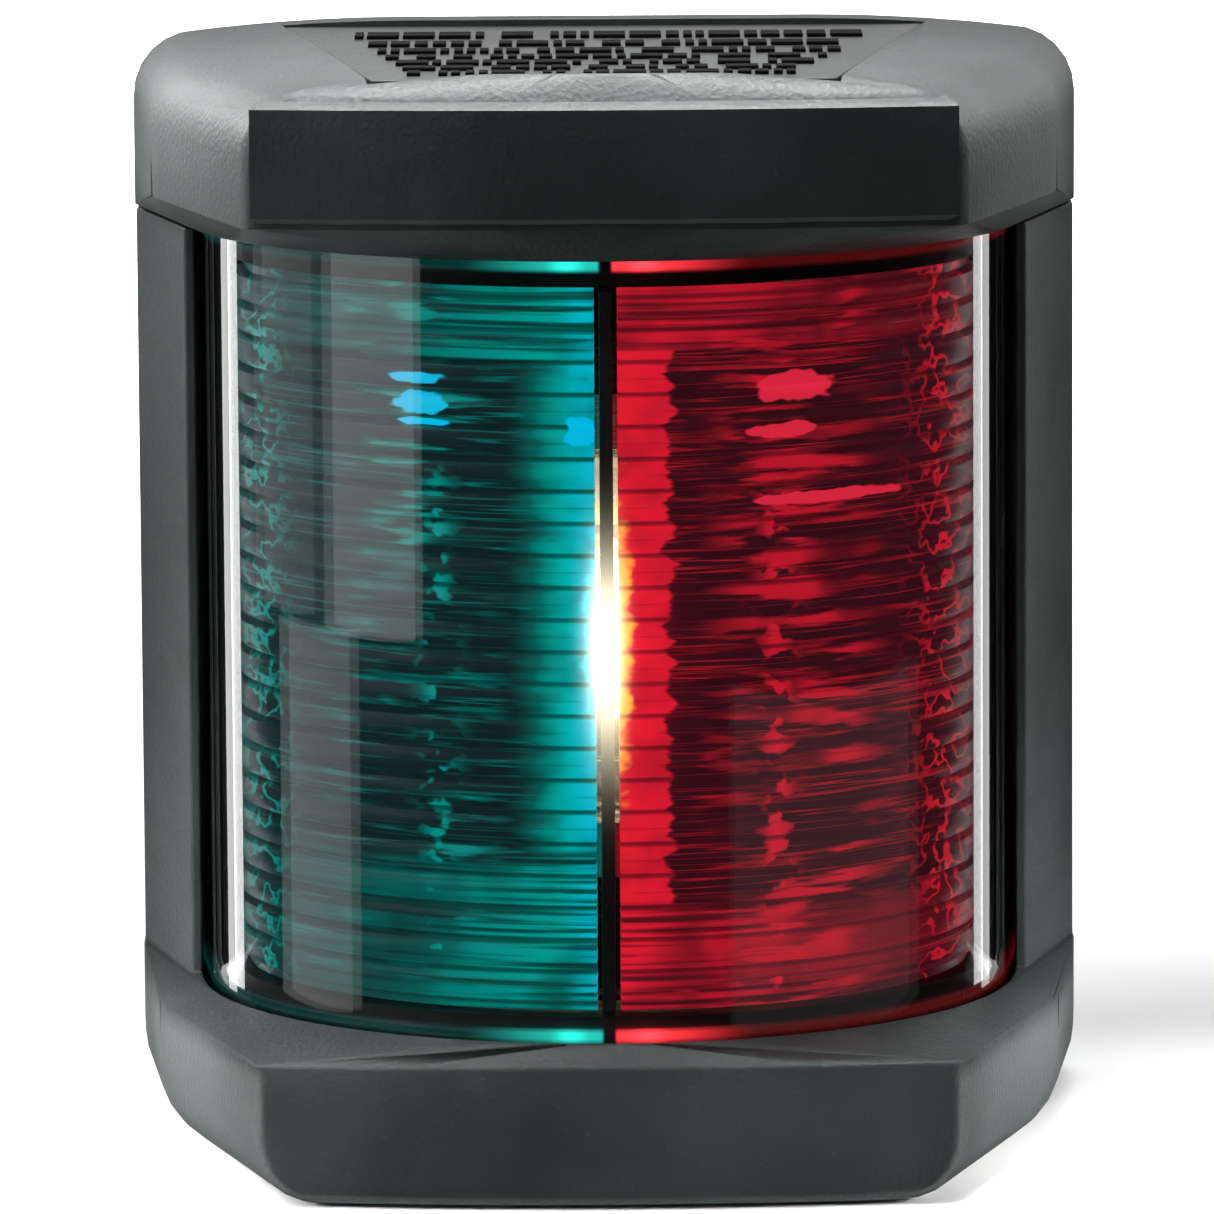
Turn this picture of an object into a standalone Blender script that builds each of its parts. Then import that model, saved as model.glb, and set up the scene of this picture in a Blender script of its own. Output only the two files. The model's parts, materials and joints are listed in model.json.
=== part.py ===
"""A bicolour navigation light for a small boat: green and red, lit by one upright festoon bulb.

The light hangs on a wall by its back. X is across, +Z is up, and the front faces -Y.
The origin is the centre of the mounting face, which is the back of the foam gasket, at y = 0.
Sizes are in millimetres. A plan point is (x, forward), where forward is the distance in front of the wall.
"""

import math

import bmesh
import bpy
from mathutils import Matrix, Vector

MM = 0.001

# Overall sizes.
WIDTH = 66.8
HEIGHT = 76.0
DEPTH = 51.5

# Fits.
SEAT = 0.3  # between faces that rest on each other
FIT = 0.3  # between pieces that go into each other
WALL = 2.0
OVERLAP = 1.0  # how far joined shapes and cutters run into or past each other

# Foam gasket and the housing's back wall.
GASKET_THICK = 1.2
GASKET_SIDE_IN = 1.2
BACK_WALL = 3.0
MOUNT_HOLE_R = 2.2
MOUNT_HOLE_IN = 13.4  # from the widest point
MOUNT_HOLE_Z = -2.0
MOUNT_BOSS_R = 5.0
MOUNT_BOSS_HIGH = 2.5

# Hoods: the plan of the cap and of the housing's lower hood, and where their faces end.
FLANK_BACK_IN = 0.4  # how far the side has come in at FLANK_BACK_F
FLANK_BACK_F = 9.0
FACET_IN = 2.4  # where the side facet starts, from the widest point and from the front
FACET_FROM_FRONT = 24.5
FRONT_CORNER_IN = 9.6  # where the side facet meets the front face
FRONT_RADIUS = 148.0
FACET_ROUND = 30.0
FRONT_CORNER_ROUND = 1.4
CAP_SIDE_ROUND = 4.6
CAP_FRONT_ROUND = 1.7
CAP_CROWN = 0.85
CROWN_LEVEL = 0.5  # the level share of the crowned top
CROWN_STEPS = 5
HOOD_SIDE_ROUND = 4.5
HOOD_FRONT_ROUND = 1.2
CAP_FACE_HIGH = 10.2  # from the cap's top to the foot of its side face
CAP_LIP_HIGH = 2.2  # the slope from the cap's face in to the lens
HOOD_FACE_HIGH = 9.5
HOOD_LEDGE_HIGH = 1.4
LIP_LAND = 0.5  # the flat rim between a hood's slope and its opening
LIP_THICK = 1.2  # the cap's rim above the foot of its face
CAP_GAP = 0.4  # between the cap and the pillars
PANEL_PROUD = 0.5
PANEL_BURIED = 1.5  # how deep its sides run, in times that
PANEL_BELOW_TOP = 1.7
PANEL_CORNER_IN = 0.3

# Pillars: tapering side walls that the lens stands between.
PILLAR_DEG = 15.4
PILLAR_AHEAD = 0.8  # of the bulb's axis

# Lens and filters: round about the bulb's axis.
LENS_SIDE_IN = 5.6  # from the widest point to the lens
LENS_WALL = 1.5
LENS_FLANK_DEG = 6.0
LENS_BACK_F = 12.0
LENS_GAP = 0.45  # between the lens and the openings that it stands in
LENS_INTO_HOOD = 0.8
LENS_INTO_CAP = 2.2  # above the foot of the cap's face
FILTER_THICK = 1.9
FILTER_GAP = 0.6  # between the lens and the filters
FILTER_BELOW_LIP = 2.2
FILTER_ABOVE_LEDGE = 1.7
PRISM_PITCH = 2.17
PRISM_DEEP = 0.7
PRISM_LAND = 0.35
FILTER_END_DEG = 4.0  # how far the filters run back past the bulb's axis
FILTER_STEPS = 12
DIVIDER_THICK = 0.9
DIVIDER_DEEP = 9.5

# Filter frame: two rings and two end posts, with a boss for the retaining screw.
FRAME_RING_HIGH = 1.2
FRAME_TOP_RING_WIDE = 2.6
FRAME_LOW_RING_WIDE = 10.8
POST_WIDE = 2.4
POST_BACK_F = 13.0
BOSS_R = 3.8
BOSS_HIGH = 2.4
LUG_R = 3.4
LUG_IN = 5.2  # from the filters' outer face in to a lug's middle
LUG_DEG = 45.0

# Bulb: a festoon lamp.
BULB_LENGTH = 41.0
BULB_R = 5.5
BULB_Z = -3.0
BULB_GLASS_WALL = 0.6
BULB_SHOULDER = 4.0
BULB_CAP_R = 4.2
BULB_CAP_WALL = 0.5
BULB_CAP_HIGH = 7.5
BULB_CONE_HIGH = 3.6
BULB_CAP_TOP = 1.0
BULB_TIP_R = 1.6
BULB_NECK_R = 3.3
FILAMENT_WIRE_R = 0.16
FILAMENT_COIL_R = 0.7
FILAMENT_LENGTH = 12.0
FILAMENT_TURNS = 9
FILAMENT_POINTS = 8  # points in each turn

# Bulb carrier and contacts.
SPINE_WIDE = 18.0
SPINE_THICK = 3.0
SPINE_PAST_SHELF = 4.0
SHELF_WIDE = 12.0
SHELF_HIGH = 2.4
SHELF_SHARE = 0.54  # of the room between the carrier's spine and the bulb's cap
CONTACT_THICK = 0.6
CONTACT_WIDE = 8.0
CONTACT_AHEAD = 4.5  # the contact's arm ahead of the bulb's axis
CONTACT_LEG = 13.0
CONTACT_GRIP = 2.2  # how far down the bulb's cone the contact sits
TERMINAL_FROM_ARM = 8.0

# Screws.
SCREW_R = 1.5
SCREW_HEAD_R = 2.8
SCREW_HEAD_HIGH = 1.8
SCREW_SLOT_WIDE = 0.8
SCREW_SLOT_DEEP = 0.8
CLAMP_SIDE = 6.6
CLAMP_THICK = 0.8
TERMINAL_SCREW_GRIP = 2.2  # how far it goes into the carrier
CARRIER_SCREW_X = 6.6
CARRIER_SCREW_LONG = 4.4
CAP_SCREW_LONG = 7.0
RETAINER_INTO_INSERT = 3.0
INSERT_WALL = 0.7
TOWER_R = 4.4
ORING_R = 0.5
SCREW_HEAD_IN = 0.4  # how far the retaining screw's head sits inside the bottom

# Cable grommet.
GROMMET_IN = 15.4  # from the widest point
GROMMET_Z = -15.0
GROMMET_BORE_R = 3.4
GROMMET_R = 5.0
GROMMET_LIP_R = 6.6
GROMMET_LIP_HIGH = 1.4

# Seals.
SEAL_HIGH = 2.0
SEAL_WIDE = 2.8
DRAIN_R = 1.5
DRAIN_X = 12.0

# Rating plate.
LABEL_SIDE_IN = 11.0  # at its back, from the widest point
LABEL_TAPER = 7.0  # how much further in each side is at its front
LABEL_FROM_FRONT = 3.2
LABEL_LONG = 43.0
LABEL_THICK = 0.8
LABEL_INSET = 0.4

# Worked out from the sizes above.
HALF = WIDTH / 2
MOUNT_HOLE_X = HALF - MOUNT_HOLE_IN
GROMMET_X = HALF - GROMMET_IN
TOP = HEIGHT / 2
BOTTOM = -HEIGHT / 2
WALL_BACK = GASKET_THICK + SEAT
WALL_FRONT = WALL_BACK + BACK_WALL
WALL_HALF = HALF - FLANK_BACK_IN - WALL - FIT
LENS_R = HALF - LENS_SIDE_IN
LENS_BEHIND_FRONT = PANEL_PROUD + WALL
AXIS_F = DEPTH - LENS_BEHIND_FRONT - LENS_R  # the bulb's axis, in front of the wall
OPENING_R = LENS_R + LENS_GAP
PILLAR_FRONT_F = AXIS_F + PILLAR_AHEAD
LIP_TOP = TOP - CAP_FACE_HIGH
LIP_FOOT = LIP_TOP - CAP_LIP_HIGH
LEDGE_FOOT = BOTTOM + HOOD_FACE_HIGH
LEDGE_TOP = LEDGE_FOOT + HOOD_LEDGE_HIGH
PILLAR_TOP = LIP_FOOT - CAP_GAP
LENS_FOOT = LEDGE_TOP - LENS_INTO_HOOD
LENS_TOP = LIP_TOP + LENS_INTO_CAP
SEAL_TOP = LENS_FOOT - SEAT
SEAL_FOOT = SEAL_TOP - SEAL_HIGH
SEAL_R = LENS_R - SEAL_WIDE
HOOD_SHELF = SEAL_FOOT - SEAT
CAP_SEAL_FOOT = LENS_TOP + SEAT
CAP_SEAL_TOP = CAP_SEAL_FOOT + SEAL_HIGH
CAP_ROOF = TOP - CAP_CROWN - WALL
WALL_TOP = CAP_ROOF - FIT
FILTER_R = LENS_R - LENS_WALL - FILTER_GAP
FILTER_INNER_R = FILTER_R - FILTER_THICK
FILTER_TOP = LIP_FOOT - FILTER_BELOW_LIP
FILTER_FOOT = LEDGE_TOP + FILTER_ABOVE_LEDGE
LOW_RING_TOP = FILTER_FOOT - SEAT
LOW_RING_FOOT = LOW_RING_TOP - FRAME_RING_HIGH
TOP_RING_FOOT = FILTER_TOP + SEAT
TOP_RING_TOP = TOP_RING_FOOT + FRAME_RING_HIGH
BOSS_FOOT = LOW_RING_FOOT - BOSS_HIGH
LUG_FROM_AXIS = FILTER_R - LUG_IN
LUG_X = LUG_FROM_AXIS * math.cos(math.radians(LUG_DEG))
LUG_F = AXIS_F + LUG_FROM_AXIS * math.sin(math.radians(LUG_DEG))
SPINE_BACK = WALL_FRONT + SEAT
SPINE_FRONT = SPINE_BACK + SPINE_THICK
SHELF_REACH = SHELF_SHARE * (AXIS_F - BULB_CAP_R - SPINE_FRONT)
RETAINER_F = AXIS_F + FILTER_R - FRAME_LOW_RING_WIDE / 2
TOWER_TOP = BOSS_FOOT - FIT
HOOD_FLOOR = BOTTOM + WALL
LABEL_BACK_HALF = HALF - LABEL_SIDE_IN
LABEL_FRONT_HALF = LABEL_BACK_HALF - LABEL_TAPER
LABEL_FRONT = DEPTH - LABEL_FROM_FRONT
LABEL_TOP = TOP - LABEL_INSET
SCREW_HOLE_R = SCREW_R + FIT
COUNTERBORE_DEEP = SCREW_HEAD_IN + SCREW_HEAD_HIGH + 2 * SEAT + 2 * ORING_R

ROUND_STEPS = 16
GRID = 1e-7  # metres


# ---------------------------------------------------------------- scene and helpers
for old in list(bpy.data.objects):
    bpy.data.objects.remove(old, do_unlink=True)

PARTS = bpy.data.collections.new("navigation_light")
HELPERS = bpy.data.collections.new("cutters")
bpy.context.scene.collection.children.link(PARTS)
bpy.context.scene.collection.children.link(HELPERS)


def material(name, colour, roughness, metallic=0.0, alpha=1.0, glow=0.0):
    """A Principled material with one colour."""
    made = bpy.data.materials.new(name)
    made.use_nodes = True
    shader = made.node_tree.nodes["Principled BSDF"]
    shader.inputs["Base Color"].default_value = (*colour, 1.0)
    shader.inputs["Roughness"].default_value = roughness
    shader.inputs["Metallic"].default_value = metallic
    shader.inputs["Alpha"].default_value = alpha
    if glow:
        shader.inputs["Emission Color"].default_value = (*colour, 1.0)
        shader.inputs["Emission Strength"].default_value = glow
    return made


BLACK = material("housing_black", (0.022, 0.025, 0.026), 0.55)
INNER_BLACK = material("inner_black", (0.01, 0.01, 0.011), 0.7)
RUBBER = material("rubber", (0.012, 0.012, 0.012), 0.85)
CLEAR = material("clear_lens", (0.85, 0.88, 0.9), 0.03, alpha=0.25)
GREEN = material("green_filter", (0.0, 0.35, 0.3), 0.08, alpha=0.85)
RED = material("red_filter", (0.65, 0.01, 0.02), 0.08, alpha=0.85)
STEEL = material("stainless", (0.62, 0.62, 0.6), 0.3, metallic=1.0)
CONTACT = material("contact_brass", (0.75, 0.62, 0.33), 0.3, metallic=1.0)
NICKEL = material("bulb_nickel", (0.7, 0.69, 0.66), 0.22, metallic=1.0)
GLASS = material("bulb_glass", (0.95, 0.95, 0.93), 0.02, alpha=0.2)
TUNGSTEN = material("filament", (1.0, 0.72, 0.38), 0.4, glow=8.0)
LABEL = material("rating_plate", (0.03, 0.033, 0.034), 0.45)


def smooth(obj, degrees=35.0):
    """Round faces shaded smooth, and edges sharper than this left sharp."""
    obj.data.shade_smooth()
    obj.data.set_sharp_from_angle(angle=math.radians(degrees))
    return obj


def add_object(name, mesh, finish, helper=False):
    """An object in the parts collection, or in the cutters' one."""
    obj = bpy.data.objects.new(name, mesh)
    (HELPERS if helper else PARTS).objects.link(obj)
    if helper:
        hide(obj)
    else:
        obj.data.materials.append(finish)
        smooth(obj)
    return obj


def hide(obj):
    obj.hide_render = True
    obj.display_type = "WIRE"


def snap(bm):
    """Points moved to a fine grid, so that faces meant to share a plane do, and a union of them closes."""
    for vert in bm.verts:
        vert.co = [round(value / GRID) * GRID for value in vert.co]


def from_bmesh(name, bm, finish, helper=False):
    snap(bm)
    bmesh.ops.recalc_face_normals(bm, faces=bm.faces)
    mesh = bpy.data.meshes.new(name)
    bm.to_mesh(mesh)
    bm.free()
    return add_object(name, mesh, finish, helper)


def to_world(x, forward, z):
    return Vector((x * MM, -forward * MM, z * MM))


def flat_solid(name, outline, low, high, finish=None, helper=False, upright=False):
    """A filled 2D outline with a thickness, turned into a mesh.

    The outline is in plan and runs from height low to high or, upright, is (x, z) and runs forward.
    """
    curve = bpy.data.curves.new(name + "_outline", "CURVE")
    curve.dimensions = "2D"
    curve.fill_mode = "BOTH"
    curve.extrude = (high - low) / 2 * MM
    spline = curve.splines.new("POLY")
    spline.points.add(len(outline) - 1)
    spline.use_cyclic_u = True
    guide = bpy.data.objects.new(name + "_outline", curve)
    HELPERS.objects.link(guide)
    for point, (x, across) in zip(spline.points, outline):
        point.co = (x * MM, (across if upright else -across) * MM, 0.0, 1.0)
    middle = (low + high) / 2 * MM
    guide.location = (0.0, -middle, 0.0) if upright else (0.0, 0.0, middle)
    guide.rotation_euler.x = math.pi / 2 if upright else 0.0
    return mesh_of_curve(name, guide, finish, helper)


def mesh_of_curve(name, guide, finish, helper=False):
    """The evaluated curve as a closed mesh, in place; the curve is removed."""
    bpy.context.view_layer.update()
    graph = bpy.context.evaluated_depsgraph_get()
    mesh = bpy.data.meshes.new_from_object(guide.evaluated_get(graph))
    bm = bmesh.new()
    bm.from_mesh(mesh)
    bmesh.ops.remove_doubles(bm, verts=bm.verts, dist=10 * GRID)
    bm.transform(guide.matrix_world)
    snap(bm)
    bmesh.ops.recalc_face_normals(bm, faces=bm.faces)
    bm.to_mesh(mesh)
    bm.free()
    mesh.name = name
    mesh.materials.clear()
    made = add_object(name, mesh, finish, helper)
    bpy.data.objects.remove(guide)
    return made


def hull_of_rings(name, rings, finish=None, helper=False):
    """The convex loft through rings, each a plan outline and its height."""
    bm = bmesh.new()
    for outline, z in rings:
        for x, forward in outline:
            bm.verts.new(to_world(x, forward, z))
    found = bmesh.ops.convex_hull(bm, input=bm.verts)
    loose = [v for v in found["geom_interior"] if isinstance(v, bmesh.types.BMVert)]
    bmesh.ops.delete(bm, geom=loose, context="VERTS")
    bmesh.ops.dissolve_limit(bm, angle_limit=math.radians(0.5), verts=bm.verts, edges=bm.edges)
    return from_bmesh(name, bm, finish, helper)


def box(name, x, forward, z, finish=None, helper=False):
    """A box from three (low, high) pairs."""
    bm = bmesh.new()
    bmesh.ops.create_cube(bm, size=1.0)
    size = [(pair[1] - pair[0]) * MM for pair in (x, forward, z)]
    bmesh.ops.scale(bm, vec=size, verts=bm.verts)
    middle = to_world(sum(x) / 2, sum(forward) / 2, sum(z) / 2)
    bmesh.ops.translate(bm, vec=middle, verts=bm.verts)
    return from_bmesh(name, bm, finish, helper)


def rod(name, radius, start, end, finish=None, helper=False, tip=None, steps=ROUND_STEPS):
    """A round bar, or a cone if it has a tip radius, between two (x, forward, z) points."""
    a, b = to_world(*start), to_world(*end)
    bm = bmesh.new()
    bmesh.ops.create_cone(
        bm,
        cap_ends=True,
        segments=steps,
        radius1=radius * MM,
        radius2=(radius if tip is None else tip) * MM,
        depth=(b - a).length,
    )
    turn = Vector((0, 0, 1)).rotation_difference((b - a).normalized()).to_matrix().to_4x4()
    bmesh.ops.transform(bm, matrix=Matrix.Translation((a + b) / 2) @ turn, verts=bm.verts)
    return from_bmesh(name, bm, finish, helper)


def turned(name, profile, centre, finish, closed=True, lying=False, steps=20):
    """A profile of (radius, along) points turned about an axis, which is upright or runs forward.

    The profile runs down its outer side first. It is a closed loop, or starts and ends on the axis.
    """
    bm = bmesh.new()
    ring = [bm.verts.new((radius * MM, 0.0, along * MM)) for radius, along in profile]
    for a, b in zip(ring, ring[1:] + ring[:1] if closed else ring[1:]):
        bm.edges.new((a, b))
    mesh = bpy.data.meshes.new(name)
    bm.to_mesh(mesh)
    bm.free()
    obj = add_object(name, mesh, finish)
    obj.location = to_world(*centre)
    obj.rotation_euler.x = math.pi / 2 if lying else 0.0
    screw = obj.modifiers.new("Turn", "SCREW")
    screw.steps = screw.render_steps = steps
    screw.use_merge_vertices = True
    screw.merge_threshold = 10 * GRID
    return obj


def swept(name, profile, start_deg, end_deg, steps, finish):
    """A closed profile of (radius, z) points carried part of the way round the bulb's axis."""
    angle = math.radians(start_deg)
    bm = bmesh.new()
    ring = [
        bm.verts.new(to_world(radius * math.cos(angle), AXIS_F + radius * math.sin(angle), z))
        for radius, z in profile
    ]
    face = bm.faces.new(ring)
    bmesh.ops.spin(
        bm,
        geom=[face, *face.edges, *face.verts],
        cent=to_world(0.0, AXIS_F, 0.0),
        axis=(0.0, 0.0, 1.0),
        angle=-math.radians(end_deg - start_deg),
        steps=steps,
    )
    return from_bmesh(name, bm, finish)


def boolean(target, other, operation):
    """Keeps other as a hidden helper and joins it to, or cuts it from, target."""
    if other.name in PARTS.objects:
        PARTS.objects.unlink(other)
        HELPERS.objects.link(other)
    hide(other)
    modifier = target.modifiers.new(other.name, "BOOLEAN")
    modifier.operation = operation
    modifier.solver = "EXACT"
    modifier.object = other
    return target


def cut(target, *others):
    for other in others:
        boolean(target, other, "DIFFERENCE")
    return target


def join(target, *others):
    for other in others:
        boolean(target, other, "UNION")
    return target


# ---------------------------------------------------------------- plan outlines
def both_sides(right):
    """An outline from its right half, which runs from the back to the front."""
    return right + [(-x, forward) for x, forward in reversed(right) if x > GRID]


def rounded_corner(before, corner, after, radius, steps=5):
    """Points of an arc of this radius in a corner, limited to what the corner's sides allow."""
    to_before = (Vector(before) - Vector(corner)).normalized()
    to_after = (Vector(after) - Vector(corner)).normalized()
    half = to_before.angle(to_after) / 2
    room = 0.45 * min((Vector(before) - Vector(corner)).length, (Vector(after) - Vector(corner)).length)
    reach = min(radius / math.tan(half), room)
    radius = reach * math.tan(half)
    centre = Vector(corner) + (to_before + to_after).normalized() * (radius / math.sin(half))
    first = Vector(corner) + to_before * reach - centre
    turn = math.pi - 2 * half
    sign = 1 if to_before.x * to_after.y - to_before.y * to_after.x < 0 else -1
    points = []
    for i in range(steps + 1):
        angle = sign * turn * i / steps
        x = first.x * math.cos(angle) - first.y * math.sin(angle)
        y = first.x * math.sin(angle) + first.y * math.cos(angle)
        points.append((centre.x + x, centre.y + y))
    return points


def hood_outline(side_in=0.0, front_in=0.0, back=WALL_BACK):
    """The hoods' plan: tapering sides, flat side facets and a gently bowed front."""
    corner_x = HALF - FRONT_CORNER_IN
    front = DEPTH - front_in
    bow = corner_x**2 / (2 * FRONT_RADIUS)
    wide = HALF - side_in
    bend = (wide - FACET_IN, DEPTH - FACET_FROM_FRONT)
    rear = (wide, back)
    flank = (wide - FLANK_BACK_IN, FLANK_BACK_F)
    slope = (FRONT_CORNER_IN - FACET_IN) / (FACET_FROM_FRONT - bow)
    nose_x = corner_x - side_in + front_in * slope
    nose = (nose_x, front - nose_x**2 / (2 * FRONT_RADIUS))
    middle = (nose_x / 2, front - (nose_x / 2) ** 2 / (2 * FRONT_RADIUS))
    right = [rear, flank]
    right += rounded_corner(flank, bend, nose, FACET_ROUND)
    right += rounded_corner(bend, nose, middle, FRONT_CORNER_ROUND, 3)
    for share in (0.6, 0.3, 0.0):
        x = nose_x * share
        right.append((x, front - x**2 / (2 * FRONT_RADIUS)))
    return both_sides(right)


def nose_outline(radius, flank_deg, back, widest=None, steps=14):
    """Round about the bulb's axis, with straight flanks that open towards the back."""
    angle = math.radians(flank_deg)
    start = (radius * math.cos(angle), AXIS_F + radius * math.sin(angle))
    rear_x = start[0] + (start[1] - back) * math.tan(angle)
    right = [(rear_x, back)]
    if widest is not None and rear_x > widest:
        bend_f = start[1] - (widest - start[0]) / math.tan(angle)
        right = [(widest, back), (widest, bend_f)]
    for i in range(steps + 1):
        turn = angle + (math.pi / 2 - angle) * i / steps
        right.append((radius * math.cos(turn), AXIS_F + radius * math.sin(turn)))
    right[-1] = (0.0, AXIS_F + radius)
    return both_sides(right)


def nose_strip(outer_r, inner_r, flank_deg, back):
    """A strip of constant width that follows the lens, open at the back."""
    outer = nose_outline(outer_r, flank_deg, back)
    inner = nose_outline(inner_r, flank_deg, back)
    return outer + list(reversed(inner))


def flank_x(radius, flank_deg, forward):
    """How far out the straight flank of a nose outline is at this distance from the wall."""
    angle = math.radians(flank_deg)
    return radius * math.cos(angle) + (AXIS_F + radius * math.sin(angle) - forward) * math.tan(angle)


def inset_at(z, top, radius):
    """How far a rounded top edge has come in at this height."""
    rise = z - (top - radius)
    return 0.0 if rise <= 0 else radius - math.sqrt(max(radius**2 - rise**2, 0.0))


# ---------------------------------------------------------------- the housing and what is fixed to it
def rounded_rings(side_round, front_round, level, outward, front_in=0.0, steps=6):
    """Rings of a hood's rounded edge, from its face to its level end.

    Outward is 1 for a top edge and -1 for a bottom one.
    """
    rings = []
    for i in range(steps + 1):
        angle = math.pi / 2 * i / steps
        below = side_round * (1 - math.sin(angle))
        side = side_round * (1 - math.cos(angle))
        front = inset_at(-below, 0.0, front_round)
        rings.append((hood_outline(side, front + front_in), level - outward * below))
    return rings


def wall_outline(foot, top):
    """The back wall, seen from the front, with its top corners cut to clear the cap's rounded ones."""
    half = WALL_HALF
    cut_off = CAP_SIDE_ROUND
    return both_sides([(half, foot), (half, top - cut_off), (half - cut_off, top)])


def hole(name, radius, at, direction, length):
    """A round cutter from a point, along a direction."""
    start = Vector(at)
    end = start + Vector(direction) * length
    return rod(name, radius, start, end, helper=True)


def make_housing():
    """Back wall, two tapering side pillars and the lower hood, in one moulding."""
    rings = rounded_rings(HOOD_SIDE_ROUND, HOOD_FRONT_ROUND, BOTTOM, -1)
    rings.append((hood_outline(), LEDGE_FOOT))
    rim = nose_outline(OPENING_R + LIP_LAND, PILLAR_DEG, WALL_BACK, widest=HALF - FLANK_BACK_IN)
    rings.append((rim, LEDGE_TOP))
    housing = hull_of_rings("housing", rings, BLACK)

    hollow = hood_outline(WALL, WALL, back=WALL_FRONT)
    seat = nose_outline(OPENING_R, LENS_FLANK_DEG, WALL_FRONT)
    throat = nose_outline(SEAL_R, LENS_FLANK_DEG, WALL_FRONT)
    cut(
        housing,
        flat_solid("hood_hollow", hollow, HOOD_FLOOR, HOOD_SHELF - WALL, helper=True),
        flat_solid("hood_throat", throat, HOOD_SHELF - WALL - OVERLAP, HOOD_SHELF + OVERLAP, helper=True),
        flat_solid("hood_seat", seat, HOOD_SHELF, LEDGE_TOP + OVERLAP, helper=True),
    )

    back_wall = wall_outline(BOTTOM + WALL - OVERLAP, WALL_TOP)
    tower_foot = (0.0, RETAINER_F, HOOD_FLOOR - OVERLAP)
    join(
        housing,
        flat_solid("back_wall", back_wall, WALL_BACK, WALL_FRONT, upright=True, helper=True),
        make_pillar("pillar_right", 1),
        make_pillar("pillar_left", -1),
        rod("screw_tower", TOWER_R, tower_foot, (0.0, RETAINER_F, TOWER_TOP), helper=True),
    )
    below = (0.0, RETAINER_F, BOTTOM - OVERLAP)
    cut(
        housing,
        hole("tower_hole", SCREW_HOLE_R, below, (0, 0, 1), TOWER_TOP - BOTTOM + 2 * OVERLAP),
        hole("tower_counterbore", SCREW_HEAD_R + FIT, below, (0, 0, 1), COUNTERBORE_DEEP + OVERLAP),
        hole("cable_hole", GROMMET_R + FIT, (GROMMET_X, 0.0, GROMMET_Z), (0, 1, 0), WALL_FRONT + OVERLAP),
    )
    for side in (-1, 1):
        tag = "left" if side < 0 else "right"
        x = side * MOUNT_HOLE_X
        boss_front = WALL_FRONT + MOUNT_BOSS_HIGH
        boss_back = (x, WALL_FRONT - OVERLAP, MOUNT_HOLE_Z)
        boss = rod(f"mount_boss_{tag}", MOUNT_BOSS_R, boss_back, (x, boss_front, MOUNT_HOLE_Z), helper=True)
        join(housing, boss)
        drain = (side * DRAIN_X, RETAINER_F, BOTTOM - OVERLAP)
        pilot_back = SPINE_FRONT - CARRIER_SCREW_LONG - FIT
        pilot = (side * CARRIER_SCREW_X, pilot_back, BULB_Z)
        cut(
            housing,
            hole(f"mount_hole_{tag}", MOUNT_HOLE_R, (x, 0.0, MOUNT_HOLE_Z), (0, 1, 0), boss_front + OVERLAP),
            hole(f"drain_hole_{tag}", DRAIN_R, drain, (0, 0, 1), WALL + 2 * OVERLAP),
            hole(f"carrier_hole_{tag}", SCREW_HOLE_R, pilot, (0, 1, 0), CARRIER_SCREW_LONG),
        )
    return housing


def make_pillar(name, side):
    """One tapering side wall, from the lower hood up to the cap."""
    foot_x = HALF - FLANK_BACK_IN
    line_x = flank_x(OPENING_R, PILLAR_DEG, PILLAR_FRONT_F)
    bend_f = PILLAR_FRONT_F - (foot_x - line_x) / math.tan(math.radians(PILLAR_DEG))
    outline = [
        (foot_x, WALL_BACK),
        (foot_x, bend_f),
        (line_x, PILLAR_FRONT_F),
        (flank_x(OPENING_R, LENS_FLANK_DEG, PILLAR_FRONT_F), PILLAR_FRONT_F),
        (flank_x(OPENING_R, LENS_FLANK_DEG, WALL_FRONT), WALL_FRONT),
        (WALL_HALF - OVERLAP, WALL_BACK),
    ]
    outline = [(side * x, forward) for x, forward in outline]
    return flat_solid(name, outline, HOOD_SHELF - OVERLAP, PILLAR_TOP, helper=True)


def make_gasket():
    half = HALF - GASKET_SIDE_IN
    foot = BOTTOM + HOOD_SIDE_ROUND / 2
    top = WALL_TOP
    corner = HOOD_SIDE_ROUND
    corners = [(half, foot), (half, top), (-half, top), (-half, foot)]
    outline = []
    for before, at, after in zip(corners[-1:] + corners, corners, corners[1:] + corners[:1]):
        outline += rounded_corner(before, at, after, corner)
    pad = flat_solid("wall_gasket", outline, 0.0, GASKET_THICK, RUBBER, upright=True)
    cable = (GROMMET_X, -OVERLAP, GROMMET_Z)
    through = GASKET_THICK + 2 * OVERLAP
    cut(pad, hole("gasket_cable_hole", GROMMET_LIP_R + FIT, cable, (0, 1, 0), through))
    for side in (-1, 1):
        name = "gasket_screw_hole_" + ("left" if side < 0 else "right")
        at = (side * MOUNT_HOLE_X, -OVERLAP, MOUNT_HOLE_Z)
        cut(pad, hole(name, MOUNT_HOLE_R, at, (0, 1, 0), GASKET_THICK + 2 * OVERLAP))
    return pad


def make_grommet():
    back_lip = WALL_BACK - SEAT
    front_lip = WALL_FRONT + SEAT
    profile = [
        (GROMMET_BORE_R, front_lip + GROMMET_LIP_HIGH),
        (GROMMET_LIP_R, front_lip + GROMMET_LIP_HIGH),
        (GROMMET_LIP_R, front_lip),
        (GROMMET_R, front_lip),
        (GROMMET_R, back_lip),
        (GROMMET_LIP_R, back_lip),
        (GROMMET_LIP_R, SEAT),
        (GROMMET_BORE_R, SEAT),
    ]
    return turned("cable_grommet", profile, (GROMMET_X, 0.0, GROMMET_Z), RUBBER, lying=True)


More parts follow.
